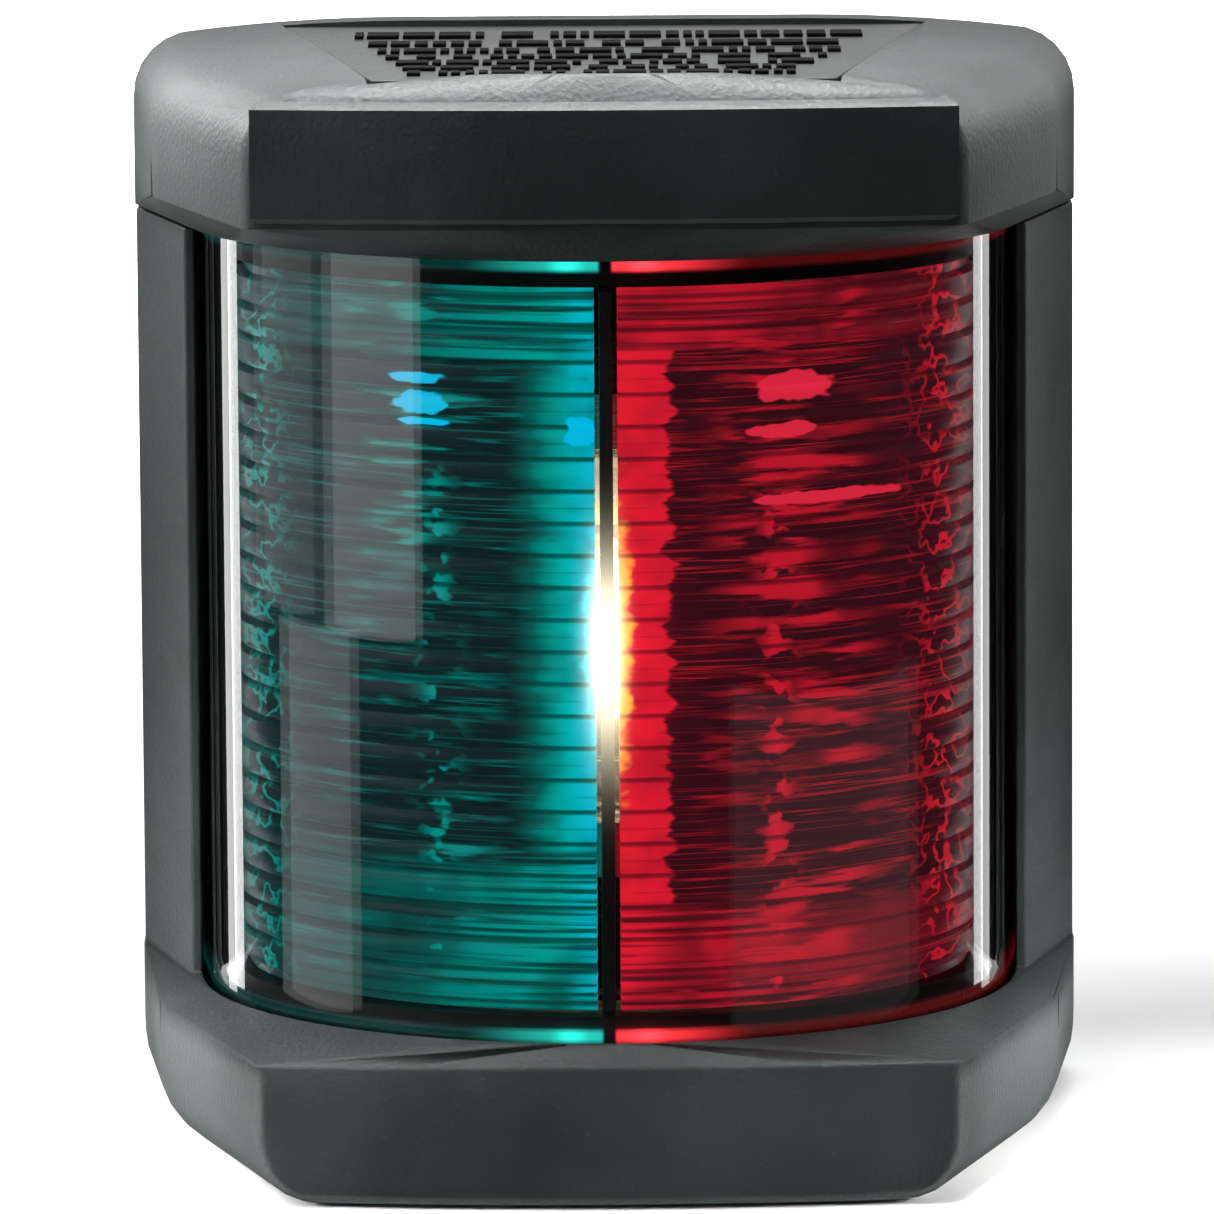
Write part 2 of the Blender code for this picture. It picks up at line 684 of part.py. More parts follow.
def screw(name, at, direction, length):
    """A slotted round-head screw: at is under its head, and direction runs from the head to its tip."""
    under = Vector(at)
    along = Vector(direction)
    body = rod(name, SCREW_HEAD_R, under, under - along * SCREW_HEAD_HIGH, STEEL)
    shank = rod(name + "_shank", SCREW_R, under - along * OVERLAP / 2, under + along * length, helper=True)
    face = under - along * SCREW_HEAD_HIGH
    ranges = []
    for i in range(3):
        if along[i]:
            low, high = sorted((face[i] - along[i] * OVERLAP, face[i] + along[i] * SCREW_SLOT_DEEP))
        else:
            reach = SCREW_HEAD_R + OVERLAP if i == 0 else SCREW_SLOT_WIDE / 2
            low, high = face[i] - reach, face[i] + reach
        ranges.append((low, high))
    slot = box(name + "_slot", *ranges, helper=True)
    return cut(join(body, shank), slot)


def make_retaining_screw():
    head_top = BOTTOM + SCREW_HEAD_IN + SCREW_HEAD_HIGH
    tip = BOSS_FOOT + RETAINER_INTO_INSERT
    screw("retaining_screw", (0.0, RETAINER_F, head_top), (0, 0, 1), tip - head_top)
    ring_r = SCREW_R + FIT + ORING_R
    sides = 10
    profile = []
    for i in range(sides):
        angle = math.pi / 2 - 2 * math.pi * i / sides
        profile.append((ring_r + ORING_R * math.cos(angle), ORING_R * math.sin(angle)))
    turned("screw_o_ring", profile, (0.0, RETAINER_F, head_top + SEAT + ORING_R), RUBBER)


def make_lens_seals():
    """One under the lens, in the lower hood, and one over it, in the cap."""
    strip = nose_strip(LENS_R, SEAL_R, LENS_FLANK_DEG, LENS_BACK_F)
    flat_solid("lens_seal", strip, SEAL_FOOT, SEAL_TOP, RUBBER)
    flat_solid("cap_seal", strip, CAP_SEAL_FOOT, CAP_SEAL_TOP, RUBBER)


# ---------------------------------------------------------------- bulb carrier and contacts
def cone_radius(below_tip):
    """The bulb's end cone, this far from its tip."""
    return BULB_TIP_R + (BULB_NECK_R - BULB_TIP_R) * below_tip / BULB_CONE_HIGH


def arm_middle(end):
    """The height of a contact's arm, at the bulb's upper (1) or lower (-1) end."""
    return BULB_Z + end * (BULB_LENGTH / 2 - CONTACT_GRIP)


def span(a, b):
    return (min(a, b), max(a, b))


def make_contact(name, end):
    """A bent brass strip: a leg down the carrier, and an arm forked round the bulb's cone."""
    half = CONTACT_WIDE / 2
    arm = arm_middle(end)
    leg_back = SPINE_FRONT + SEAT
    outer = arm + end * CONTACT_THICK / 2
    arm_z = span(outer, outer - end * CONTACT_THICK)
    leg_z = span(outer, outer - end * CONTACT_LEG)
    strip = box(name, (-half, half), (leg_back, leg_back + CONTACT_THICK), leg_z, CONTACT)
    join(strip, box(name + "_arm", (-half, half), (leg_back, AXIS_F + CONTACT_AHEAD), arm_z, helper=True))
    slot_r = cone_radius(CONTACT_GRIP + CONTACT_THICK / 2) + FIT
    through = (arm_z[0] - OVERLAP, arm_z[1] + OVERLAP)
    screw_z = arm - end * TERMINAL_FROM_ARM
    fork_front = AXIS_F + CONTACT_AHEAD + OVERLAP
    hole_back = (0.0, leg_back - OVERLAP, screw_z)
    cut(
        strip,
        rod(name + "_eye", slot_r, (0.0, AXIS_F, through[0]), (0.0, AXIS_F, through[1]), helper=True),
        box(name + "_fork", (-slot_r, slot_r), (AXIS_F, fork_front), through, helper=True),
        hole(name + "_hole", SCREW_HOLE_R, hole_back, (0, 1, 0), CONTACT_THICK + 2 * OVERLAP),
    )
    return strip


def make_terminal(name, end):
    """A square clamp and its screw, on a contact's leg."""
    screw_z = arm_middle(end) - end * TERMINAL_FROM_ARM
    back = SPINE_FRONT + CONTACT_THICK + 2 * SEAT
    front = back + CLAMP_THICK
    half = CLAMP_SIDE / 2
    clamp = box("wire_clamp_" + name, (-half, half), (back, front), (screw_z - half, screw_z + half), STEEL)
    hole_back = (0.0, back - OVERLAP, screw_z)
    cut(clamp, hole("wire_clamp_hole_" + name, SCREW_HOLE_R, hole_back, (0, 1, 0), CLAMP_THICK + 2 * OVERLAP))
    under = front + SEAT
    length = under - SPINE_FRONT + TERMINAL_SCREW_GRIP
    screw("terminal_screw_" + name, (0.0, under, screw_z), (0, -1, 0), length)


def make_bulb_carrier():
    """A moulded spine with a shelf behind each contact's arm."""
    far = CONTACT_THICK / 2 + SEAT
    upper = arm_middle(1) + far
    lower = arm_middle(-1) - far
    half = SPINE_WIDE / 2
    top = upper + SHELF_HIGH + SPINE_PAST_SHELF
    foot = lower - SHELF_HIGH
    carrier = box("bulb_carrier", (-half, half), (SPINE_BACK, SPINE_FRONT), (foot, top), INNER_BLACK)
    shelf_f = (SPINE_FRONT - OVERLAP, SPINE_FRONT + SHELF_REACH)
    shelf_x = (-SHELF_WIDE / 2, SHELF_WIDE / 2)
    join(
        carrier,
        box("shelf_upper", shelf_x, shelf_f, (upper, upper + SHELF_HIGH), helper=True),
        box("shelf_lower", shelf_x, shelf_f, (lower - SHELF_HIGH, lower), helper=True),
    )
    for end, tag in ((1, "upper"), (-1, "lower")):
        screw_z = arm_middle(end) - end * TERMINAL_FROM_ARM
        at = (0.0, SPINE_BACK - OVERLAP, screw_z)
        cut(carrier, hole(f"terminal_hole_{tag}", SCREW_HOLE_R, at, (0, 1, 0), SPINE_THICK + 2 * OVERLAP))
    for side, tag in ((-1, "left"), (1, "right")):
        at = (side * CARRIER_SCREW_X, SPINE_BACK - OVERLAP, BULB_Z)
        cut(carrier, hole(f"spine_hole_{tag}", SCREW_HOLE_R, at, (0, 1, 0), SPINE_THICK + 2 * OVERLAP))
        under = (side * CARRIER_SCREW_X, SPINE_FRONT + SEAT, BULB_Z)
        screw(f"carrier_screw_{tag}", under, (0, -1, 0), CARRIER_SCREW_LONG)
    return carrier


# ---------------------------------------------------------------- the lens unit, which lifts off
def panel_outline(inset):
    """The cap's raised front panel."""
    half = HALF - FRONT_CORNER_IN - PANEL_CORNER_IN - inset
    front = DEPTH - inset
    right = [(half, DEPTH - LENS_BEHIND_FRONT - WALL)]
    for share in (1.0, 0.75, 0.5, 0.25, 0.0):
        right.append((half * share, front - (half * share) ** 2 / (2 * FRONT_RADIUS)))
    return both_sides(right)


def make_cap():
    """The hood over the lens: rounded top, raised front panel, and a rim that slopes in to the lens."""
    level = TOP - CAP_CROWN
    rings = [
        (nose_outline(OPENING_R + LIP_LAND, PILLAR_DEG, WALL_BACK, widest=HALF - FLANK_BACK_IN), LIP_FOOT),
        (hood_outline(0.0, PANEL_PROUD), LIP_TOP),
    ]
    rings += rounded_rings(CAP_SIDE_ROUND, CAP_FRONT_ROUND, level, 1, front_in=PANEL_PROUD)
    edge = hood_outline(CAP_SIDE_ROUND, PANEL_PROUD + CAP_FRONT_ROUND)
    for i in range(1, CROWN_STEPS + 1):
        share = 1 - (1 - CROWN_LEVEL) * i / CROWN_STEPS
        rise = 1 - ((share - CROWN_LEVEL) / (1 - CROWN_LEVEL)) ** 2
        rings.append(([(x * share, forward) for x, forward in edge], level + CAP_CROWN * rise))
    cap = hull_of_rings("top_cap", rings, BLACK)

    buried = PANEL_PROUD * PANEL_BURIED
    panel_foot = LIP_TOP + PANEL_PROUD
    panel_top = TOP - PANEL_BELOW_TOP
    panel = [
        (panel_outline(buried), panel_foot - PANEL_PROUD / 2),
        (panel_outline(0.0), panel_foot + PANEL_PROUD / 2),
        (panel_outline(0.0), panel_top - PANEL_PROUD),
        (panel_outline(buried), panel_top),
    ]
    join(cap, hull_of_rings("front_panel", panel, helper=True))

    rim_top = LIP_TOP + LIP_THICK
    side = WALL
    front = WALL + PANEL_PROUD
    bevel = CAP_SIDE_ROUND - WALL / 2
    hollow = [
        (hood_outline(side, front, back=0.0), rim_top),
        (hood_outline(side, front, back=0.0), CAP_ROOF - bevel),
        (hood_outline(side + bevel, front, back=0.0), CAP_ROOF),
    ]
    opening = nose_outline(OPENING_R, LENS_FLANK_DEG, 0.0)
    room_half = WALL_HALF + FIT
    room_z = (LIP_FOOT - OVERLAP, rim_top + OVERLAP)
    cut(
        cap,
        hull_of_rings("cap_hollow", hollow, helper=True),
        flat_solid("cap_opening", opening, LIP_FOOT - OVERLAP, rim_top + OVERLAP, helper=True),
        box("cap_wall_room", (-room_half, room_half), (0.0, WALL_FRONT + FIT), room_z, helper=True),
    )
    rib = nose_strip(LENS_R - FIT, SEAL_R, LENS_FLANK_DEG, LENS_BACK_F)
    join(cap, flat_solid("cap_rib", rib, CAP_SEAL_TOP + SEAT, CAP_ROOF + OVERLAP, helper=True))
    for side, tag in ((-1, "left"), (1, "right")):
        x = side * LUG_X
        foot = TOP_RING_TOP + SEAT
        boss_top = (x, LUG_F, CAP_ROOF + OVERLAP)
        join(cap, rod(f"cap_boss_{tag}", LUG_R, (x, LUG_F, foot), boss_top, helper=True))
        under = (x, LUG_F, foot - OVERLAP)
        cut(cap, hole(f"cap_boss_hole_{tag}", SCREW_HOLE_R, under, (0, 0, 1), CAP_SCREW_LONG + OVERLAP))
    room = label_outline(FIT)
    cut(cap, flat_solid("label_room", room, LABEL_TOP - LABEL_THICK - SEAT, TOP + OVERLAP, helper=True))
    return cap


def label_outline(spread):
    """The rating plate: narrower at the front."""
    front = LABEL_FRONT + spread
    back = LABEL_FRONT - LABEL_LONG - spread
    return both_sides([(LABEL_BACK_HALF + spread, back), (LABEL_FRONT_HALF + spread, front)])


def make_lens():
    strip = nose_strip(LENS_R, LENS_R - LENS_WALL, LENS_FLANK_DEG, LENS_BACK_F)
    return flat_solid("clear_lens", strip, LENS_FOOT, LENS_TOP, CLEAR)


def filter_profile():
    """A filter's section: smooth inside, and a stack of prisms with V grooves between them outside."""
    count = int((FILTER_TOP - FILTER_FOOT) / PRISM_PITCH)
    first = (FILTER_TOP + FILTER_FOOT - count * PRISM_PITCH) / 2
    root = FILTER_R - PRISM_DEEP
    profile = [(FILTER_INNER_R, FILTER_TOP), (FILTER_INNER_R, FILTER_FOOT), (root, FILTER_FOOT)]
    for i in range(count):
        foot = first + i * PRISM_PITCH
        profile.append((root, foot))
        profile.append((FILTER_R, foot + PRISM_LAND))
        profile.append((FILTER_R, foot + PRISM_PITCH - PRISM_LAND))
    profile.append((root, first + count * PRISM_PITCH))
    profile.append((root, FILTER_TOP))
    return profile


def make_filters():
    """Green to the left of the divider and red to the right, as seen from ahead."""
    clear = math.degrees((DIVIDER_THICK / 2 + FIT) / FILTER_INNER_R)
    profile = filter_profile()
    swept("green_filter", profile, 90.0 + clear, 180.0 + FILTER_END_DEG, FILTER_STEPS, GREEN)
    swept("red_filter", profile, 90.0 - clear, -FILTER_END_DEG, FILTER_STEPS, RED)
    front = AXIS_F + FILTER_R
    half = DIVIDER_THICK / 2
    deep = (front - DIVIDER_DEEP, front)
    box("sector_divider", (-half, half), deep, (FILTER_FOOT, FILTER_TOP), INNER_BLACK)


def make_filter_frame():
    """Two rings held apart by end posts; the filters stand between them."""
    low = nose_strip(FILTER_R, FILTER_R - FRAME_LOW_RING_WIDE, LENS_FLANK_DEG, POST_BACK_F)
    top = nose_strip(FILTER_R, FILTER_R - FRAME_TOP_RING_WIDE, LENS_FLANK_DEG, POST_BACK_F)
    frame = flat_solid("filter_frame", low, LOW_RING_FOOT, LOW_RING_TOP, INNER_BLACK)
    boss_top = (0.0, RETAINER_F, LOW_RING_TOP - FIT)
    join(
        frame,
        make_post("frame_post_left", -1),
        make_post("frame_post_right", 1),
        flat_solid("frame_top_ring", top, TOP_RING_FOOT, TOP_RING_TOP, helper=True),
        rod("frame_boss", BOSS_R, (0.0, RETAINER_F, BOSS_FOOT), boss_top, helper=True),
    )
    insert_r = SCREW_HOLE_R + INSERT_WALL
    below = (0.0, RETAINER_F, BOSS_FOOT - OVERLAP)
    through = BOSS_HIGH + FRAME_RING_HIGH + 2 * OVERLAP
    cut(frame, hole("insert_hole", insert_r + FIT, below, (0, 0, 1), through))
    for side, tag in ((-1, "left"), (1, "right")):
        x = side * LUG_X
        foot = (x, LUG_F, TOP_RING_FOOT)
        join(frame, rod(f"frame_lug_{tag}", LUG_R, foot, (x, LUG_F, TOP_RING_TOP), helper=True))
        under = (x, LUG_F, TOP_RING_FOOT - OVERLAP)
        through = FRAME_RING_HIGH + 2 * OVERLAP
        cut(frame, hole(f"frame_lug_hole_{tag}", SCREW_HOLE_R, under, (0, 0, 1), through))
        screw(f"cap_screw_{tag}", (x, LUG_F, TOP_RING_FOOT - SEAT), (0, 0, 1), CAP_SCREW_LONG)
    profile = [
        (insert_r, LOW_RING_TOP - FIT),
        (insert_r, BOSS_FOOT),
        (SCREW_HOLE_R, BOSS_FOOT),
        (SCREW_HOLE_R, LOW_RING_TOP - FIT),
    ]
    turned("threaded_insert", profile, (0.0, RETAINER_F, 0.0), CONTACT, steps=16)
    return frame


def make_post(name, side):
    front = AXIS_F - FILTER_R * math.sin(math.radians(FILTER_END_DEG)) - FIT
    outline = []
    for forward in (POST_BACK_F, front):
        outline.append((side * flank_x(FILTER_R, LENS_FLANK_DEG, forward), forward))
    for forward in (front, POST_BACK_F):
        outline.append((side * (flank_x(FILTER_R, LENS_FLANK_DEG, forward) - POST_WIDE), forward))
    return flat_solid(name, outline, LOW_RING_FOOT, TOP_RING_TOP, helper=True)


def make_rating_plate():
    return flat_solid("rating_plate", label_outline(0.0), LABEL_TOP - LABEL_THICK, LABEL_TOP, LABEL)


# ---------------------------------------------------------------- the bulb
def make_bulb():
    """A festoon bulb: a glass tube between two cone-ended caps, with a coiled filament on its axis."""
    centre = (0.0, AXIS_F, BULB_Z)
    half = BULB_LENGTH / 2
    cone_foot = half - BULB_CONE_HIGH
    inside = cone_foot - BULB_CAP_TOP
    skirt = half - BULB_CAP_HIGH
    inner_r = BULB_CAP_R - BULB_CAP_WALL
    upper = [
        (0.0, half),
        (BULB_TIP_R, half),
        (BULB_NECK_R, cone_foot),
        (BULB_CAP_R, cone_foot),
        (BULB_CAP_R, skirt),
        (inner_r, skirt),
        (inner_r, inside),
        (0.0, inside),
    ]
    lower = [(radius, -z) for radius, z in reversed(upper)]
    turned("bulb_cap_upper", upper, centre, NICKEL, closed=False)
    turned("bulb_cap_lower", lower, centre, NICKEL, closed=False)

    neck_r = inner_r - FIT
    neck_top = inside - FIT
    shoulder_top = skirt - FIT
    steps = 4
    outer = [(neck_r, neck_top)]
    for i in range(steps + 1):
        angle = math.pi / 2 * (1 - i / steps)
        radius = neck_r + (BULB_R - neck_r) * math.cos(angle)
        outer.append((radius, shoulder_top - BULB_SHOULDER * (1 - math.sin(angle))))
    outer += [(radius, -z) for radius, z in reversed(outer)]
    inner = [(radius - BULB_GLASS_WALL, z) for radius, z in reversed(outer)]
    turned("bulb_glass", outer + inner, centre, GLASS)

    make_filament(inside - SEAT)


def make_filament(lead_end):
    """A coil with a straight lead at each end."""
    half = FILAMENT_LENGTH / 2
    route = [(0.0, 0.0, -lead_end), (0.0, 0.0, -half - FILAMENT_COIL_R)]
    count = FILAMENT_TURNS * FILAMENT_POINTS
    for i in range(count + 1):
        angle = 2 * math.pi * i / FILAMENT_POINTS
        x = FILAMENT_COIL_R * math.cos(angle)
        y = FILAMENT_COIL_R * math.sin(angle)
        route.append((x, y, half * (2 * i / count - 1)))
    route += [(0.0, 0.0, half + FILAMENT_COIL_R), (0.0, 0.0, lead_end)]
    curve = bpy.data.curves.new("filament_wire", "CURVE")
    curve.dimensions = "3D"
    curve.bevel_depth = FILAMENT_WIRE_R * MM
    curve.bevel_resolution = 2
    curve.use_fill_caps = True
    spline = curve.splines.new("POLY")
    spline.points.add(len(route) - 1)
    for point, (x, y, z) in zip(spline.points, route):
        point.co = (x * MM, y * MM, z * MM, 1.0)
    guide = bpy.data.objects.new("filament_wire", curve)
    HELPERS.objects.link(guide)
    guide.location = to_world(0.0, AXIS_F, BULB_Z)
    return mesh_of_curve("filament", guide, TUNGSTEN)


def main():
    make_gasket()
    make_housing()
    make_grommet()
    make_lens_seals()
    make_retaining_screw()
    make_bulb_carrier()
    make_contact("contact_upper", 1)
    make_contact("contact_lower", -1)
    make_terminal("upper", 1)
    make_terminal("lower", -1)
    make_cap()
    make_rating_plate()
    make_lens()
    make_filter_frame()
    make_filters()
    make_bulb()


main()
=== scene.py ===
"""Looks for the bicolour navigation light: camera, studio, finer shapes and procedural materials."""

import json
import math
import random

import bmesh
import bpy
from mathutils import Matrix, Vector


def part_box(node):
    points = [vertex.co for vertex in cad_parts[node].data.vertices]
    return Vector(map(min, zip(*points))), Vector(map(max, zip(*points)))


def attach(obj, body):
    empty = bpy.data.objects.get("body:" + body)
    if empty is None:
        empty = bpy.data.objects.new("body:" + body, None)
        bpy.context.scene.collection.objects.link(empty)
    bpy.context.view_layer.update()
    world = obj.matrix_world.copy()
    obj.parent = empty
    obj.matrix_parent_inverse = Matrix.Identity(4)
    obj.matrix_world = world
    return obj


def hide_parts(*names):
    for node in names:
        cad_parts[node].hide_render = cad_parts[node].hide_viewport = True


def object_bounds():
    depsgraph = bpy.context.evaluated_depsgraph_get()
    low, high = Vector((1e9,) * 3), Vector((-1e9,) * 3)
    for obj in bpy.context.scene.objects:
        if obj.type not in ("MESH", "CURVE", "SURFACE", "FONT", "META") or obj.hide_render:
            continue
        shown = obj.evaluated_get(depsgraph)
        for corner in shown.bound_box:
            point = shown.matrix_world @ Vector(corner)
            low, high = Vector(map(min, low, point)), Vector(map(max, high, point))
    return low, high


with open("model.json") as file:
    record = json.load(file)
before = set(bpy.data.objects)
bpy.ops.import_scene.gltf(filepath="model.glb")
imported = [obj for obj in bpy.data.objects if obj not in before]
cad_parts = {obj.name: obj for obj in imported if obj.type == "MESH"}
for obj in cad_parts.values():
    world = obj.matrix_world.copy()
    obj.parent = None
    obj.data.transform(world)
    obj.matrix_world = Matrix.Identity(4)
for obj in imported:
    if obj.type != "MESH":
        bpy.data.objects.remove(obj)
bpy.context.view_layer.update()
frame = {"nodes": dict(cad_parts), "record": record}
MM = 0.001


# ---------------------------------------------------------------- sizes, from the frame
def edges_of(node):
    """A node's box in millimetres: low and high x, forward (in front of the wall) and z."""
    low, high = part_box(node)
    return (low.x / MM, high.x / MM), (-high.y / MM, -low.y / MM), (low.z / MM, high.z / MM)


BULB_F = edges_of("bulb_glass")[1]
AXIS_F = sum(BULB_F) / 2
LENS_F = edges_of("clear_lens")[1]
LENS_Z = edges_of("clear_lens")[2]
LENS_R = LENS_F[1] - AXIS_F
LENS_WALL = 1.5
LENS_FLANK = math.radians(6.0)
FILTER_F = edges_of("green_filter")[1]
FILTER_Z = edges_of("green_filter")[2]
FILTER_R = FILTER_F[1] - AXIS_F
FILTER_THICK = 1.9
FILTER_END = math.radians(4.0)
PRISM_PITCH = 2.17
PRISM_DEEP = 0.7
PRISM_CROWN = 0.16
PRISM_COUNT = int((FILTER_Z[1] - FILTER_Z[0]) / PRISM_PITCH)
PRISM_FOOT = (FILTER_Z[1] + FILTER_Z[0] - PRISM_COUNT * PRISM_PITCH) / 2
RING_TOP = edges_of("filter_frame")[2][1]
DIVIDER_X = edges_of("sector_divider")[0]
BULB_Z = sum(edges_of("bulb_glass")[2]) / 2
LABEL_F = edges_of("rating_plate")[1]
LABEL_Z = edges_of("rating_plate")[2]
LABEL_FRONT_HALF = 15.4
LABEL_MARGIN = 2.4
LABEL_BACK_HALF = edges_of("rating_plate")[0][1]
FLOOR_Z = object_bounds()[0].z
LIP_Z = 25.6  # the cap's rim
LEDGE_Z = -27.1  # the lower hood's rim
DIVIDER_GAP = 0.3
BLACK = 0.004


# ---------------------------------------------------------------- camera
def make_camera():
    """Level with the light's upper part, about eight degrees up, and straight ahead."""
    aim = Vector((0.0, -25.0 * MM, -1.05 * MM))
    elevation = math.radians(8.1)
    distance = 0.683
    data = bpy.data.cameras.new("camera")
    data.sensor_width = 36.0
    data.lens = 293.0
    data.clip_start = 0.01
    camera = bpy.data.objects.new("camera", data)
    bpy.context.scene.collection.objects.link(camera)
    away = Vector((0.0, -math.cos(elevation), math.sin(elevation)))
    camera.location = aim + away * distance
    turn = away.to_track_quat("Z", "Y").to_matrix().to_4x4()
    roll = Matrix.Rotation(math.radians(-0.35), 4, "Z")
    camera.matrix_world = Matrix.Translation(camera.location) @ turn @ roll
    bpy.context.scene.camera = camera
    bpy.context.scene.view_settings.view_transform = "Standard"


# ---------------------------------------------------------------- shader helpers
class Shader:
    """A material's node tree, with a Principled shader and short ways to add and join nodes."""

    def __init__(self, name):
        self.material = bpy.data.materials.new(name)
        self.material.use_nodes = True
        self.tree = self.material.node_tree
        self.principled = self.tree.nodes["Principled BSDF"]
        self.coords = self.node("ShaderNodeTexCoord").outputs["Object"]

    def node(self, kind, settings=None, **inputs):
        """A new node. An input is given by its name, or by its number as i0, i1 and so on."""
        made = self.tree.nodes.new(kind)
        for key, value in (settings or {}).items():
            setattr(made, key, value)
        for key, value in inputs.items():
            numbered = key[0] == "i" and key[1:].isdigit()
            self.feed(made.inputs[int(key[1:]) if numbered else key.replace("_", " ")], value)
        return made

    def feed(self, socket, value):
        if isinstance(value, bpy.types.NodeSocket):
            self.tree.links.new(value, socket)
        else:
            socket.default_value = value

    def set(self, **inputs):
        for key, value in inputs.items():
            self.feed(self.principled.inputs[key.replace("_", " ")], value)

    def math(self, operation, a, b=0.0, c=0.0):
        return self.node("ShaderNodeMath", {"operation": operation}, i0=a, i1=b, i2=c).outputs[0]

    def product(self, first, *others):
        for other in others:
            first = self.math("MULTIPLY", first, other)
        return first

    def most(self, first, *others):
        """The largest of these numbers."""
        for other in others:
            first = self.math("MAXIMUM", first, other)
        return first

    def apart(self, a, b):
        """How far two numbers are from each other."""
        return self.math("ABSOLUTE", self.math("SUBTRACT", a, b))

    def place(self):
        """The object's own x, y and z, in millimetres."""
        return self.node("ShaderNodeSeparateXYZ", Vector=self.scaled((1, 1, 1))).outputs

    def scaled(self, scale):
        """The object's own coordinates, in millimetres times scale."""
        scale = [share / MM for share in scale]
        return self.node("ShaderNodeMapping", Vector=self.coords, Scale=scale).outputs[0]

    def noise(self, vector, detail=2.0, rough=0.5, scale=1.0):
        found = self.node("ShaderNodeTexNoise", Vector=vector, Scale=scale, Detail=detail, Roughness=rough)
        return found.outputs["Fac"]

    def ramp(self, value, low, high, out_low=0.0, out_high=1.0, smooth=True):
        """Goes from out_low to out_high while the value goes from low to high."""
        kind = "SMOOTHSTEP" if smooth else "LINEAR"
        found = self.node("ShaderNodeMapRange", {"interpolation_type": kind}, Value=value)
        for key, number in zip(("From Min", "From Max", "To Min", "To Max"), (low, high, out_low, out_high)):
            self.feed(found.inputs[key], number)
        return found.outputs[0]

    def mix(self, factor, a, b, blend="MIX"):
        found = self.node("ShaderNodeMix", {"data_type": "RGBA", "blend_type": blend}, i0=factor)
        for socket, value in ((found.inputs[6], a), (found.inputs[7], b)):
            self.feed(socket, (*value, 1.0) if isinstance(value, tuple) else value)
        return found.outputs[2]

    def add(self, a, b):
        return self.mix(1.0, a, b, "ADD")

    def bell(self, value, middle, wide):
        """1 at the middle, falling smoothly to 0 on both sides."""
        off = self.math("DIVIDE", self.math("SUBTRACT", value, middle), wide)
        return self.math("EXPONENT", self.product(off, off, -1.0))

    def tint(self, colour, amount):
        """A colour times a number."""
        return self.mix(1.0, colour, amount, "MULTIPLY")

    def bump(self, height, strength, distance_mm):
        found = self.node("ShaderNodeBump", Strength=strength, Distance=distance_mm * MM, Height=height)
        self.feed(self.principled.inputs["Normal"], found.outputs[0])


# ---------------------------------------------------------------- materials
def grained_plastic(
    name, colour, grain_mm=0.3, rough=0.5, grain=0.85, dust=0.35, gloss=0.4, painted_side_light=0.0
):
    """Moulded black plastic with a spark-eroded grain, faint dust and slightly polished patches.

    The last argument paints a paler grey, broken up by the grain, on the cap and the lower hood wherever they
    don't face straight ahead: painted side light on them.
    """
    s = Shader(name)
    fine = s.noise(s.scaled((1 / grain_mm,) * 3), detail=3.0, rough=0.6)
    pits = s.node("ShaderNodeTexVoronoi", Vector=s.scaled((0.7 / grain_mm,) * 3), Scale=1.0).outputs["Distance"]
    broad = s.noise(s.scaled((0.09, 0.09, 0.09)), detail=3.0)
    smear = s.noise(s.scaled((0.05, 0.05, 0.3)), detail=4.0)
    speck = s.ramp(s.noise(s.scaled((2.3, 2.3, 2.3)), detail=4.0, rough=0.7), 0.6, 0.78)
    light = tuple(min(1.0, c * 2.3 + 0.012) for c in colour)
    shade = s.math("MULTIPLY", s.ramp(broad, 0.35, 0.75), dust)
    base = s.mix(shade, colour, light)
    base = s.mix(s.math("MULTIPLY", speck, 0.5 * dust), base, (0.16, 0.165, 0.165))
    # painted side light: a paler grey on the cap and the lower hood where they face away from straight ahead,
    # broken up by the grain
    z = s.place()[2]
    on_hood = s.ramp(z, LEDGE_Z - 3.0, LEDGE_Z - 1.0, 2.0, 0.0)
    on_cap = s.ramp(z, LIP_Z, LIP_Z + 2.0)
    normal = s.node("ShaderNodeNewGeometry").outputs["Normal"]
    aside = s.ramp(s.node("ShaderNodeSeparateXYZ", Vector=normal).outputs[1], -0.95, -0.8)
    grains = s.ramp(fine, 0.3, 0.7, 0.5 * painted_side_light, painted_side_light)
    side_light_mask = s.product(s.math("ADD", on_hood, on_cap), aside, grains)
    base = s.mix(side_light_mask, base, (0.2, 0.205, 0.205))
    height = s.math("ADD", fine, s.math("MULTIPLY", pits, 0.7))
    polish = s.math("MULTIPLY", s.ramp(smear, 0.3, 0.7, -0.5, 0.5), 0.07)
    uneven = s.math("ADD", polish, s.ramp(fine, 0.3, 0.7, rough - 0.04, rough + 0.05))
    s.set(Base_Color=base, Roughness=uneven, Specular_IOR_Level=gloss)
    s.bump(height, grain, 0.05)
    return s.material


def rubber(name, colour=(0.012, 0.012, 0.0125), cells_mm=0.5):
    """Matt rubber or foam with small cells and a pale bloom."""
    s = Shader(name)
    cells = s.node("ShaderNodeTexVoronoi", Vector=s.scaled((1 / cells_mm,) * 3), Scale=1.0).outputs["Distance"]
    bloom = s.ramp(s.noise(s.scaled((0.2, 0.2, 0.2)), detail=4.0), 0.4, 0.75)
    s.set(Base_Color=s.mix(bloom, colour, (0.035, 0.034, 0.033)))
    s.set(Roughness=s.ramp(cells, 0.0, 1.0, 0.72, 0.92))
    s.bump(cells, 0.35, 0.08)
    return s.material


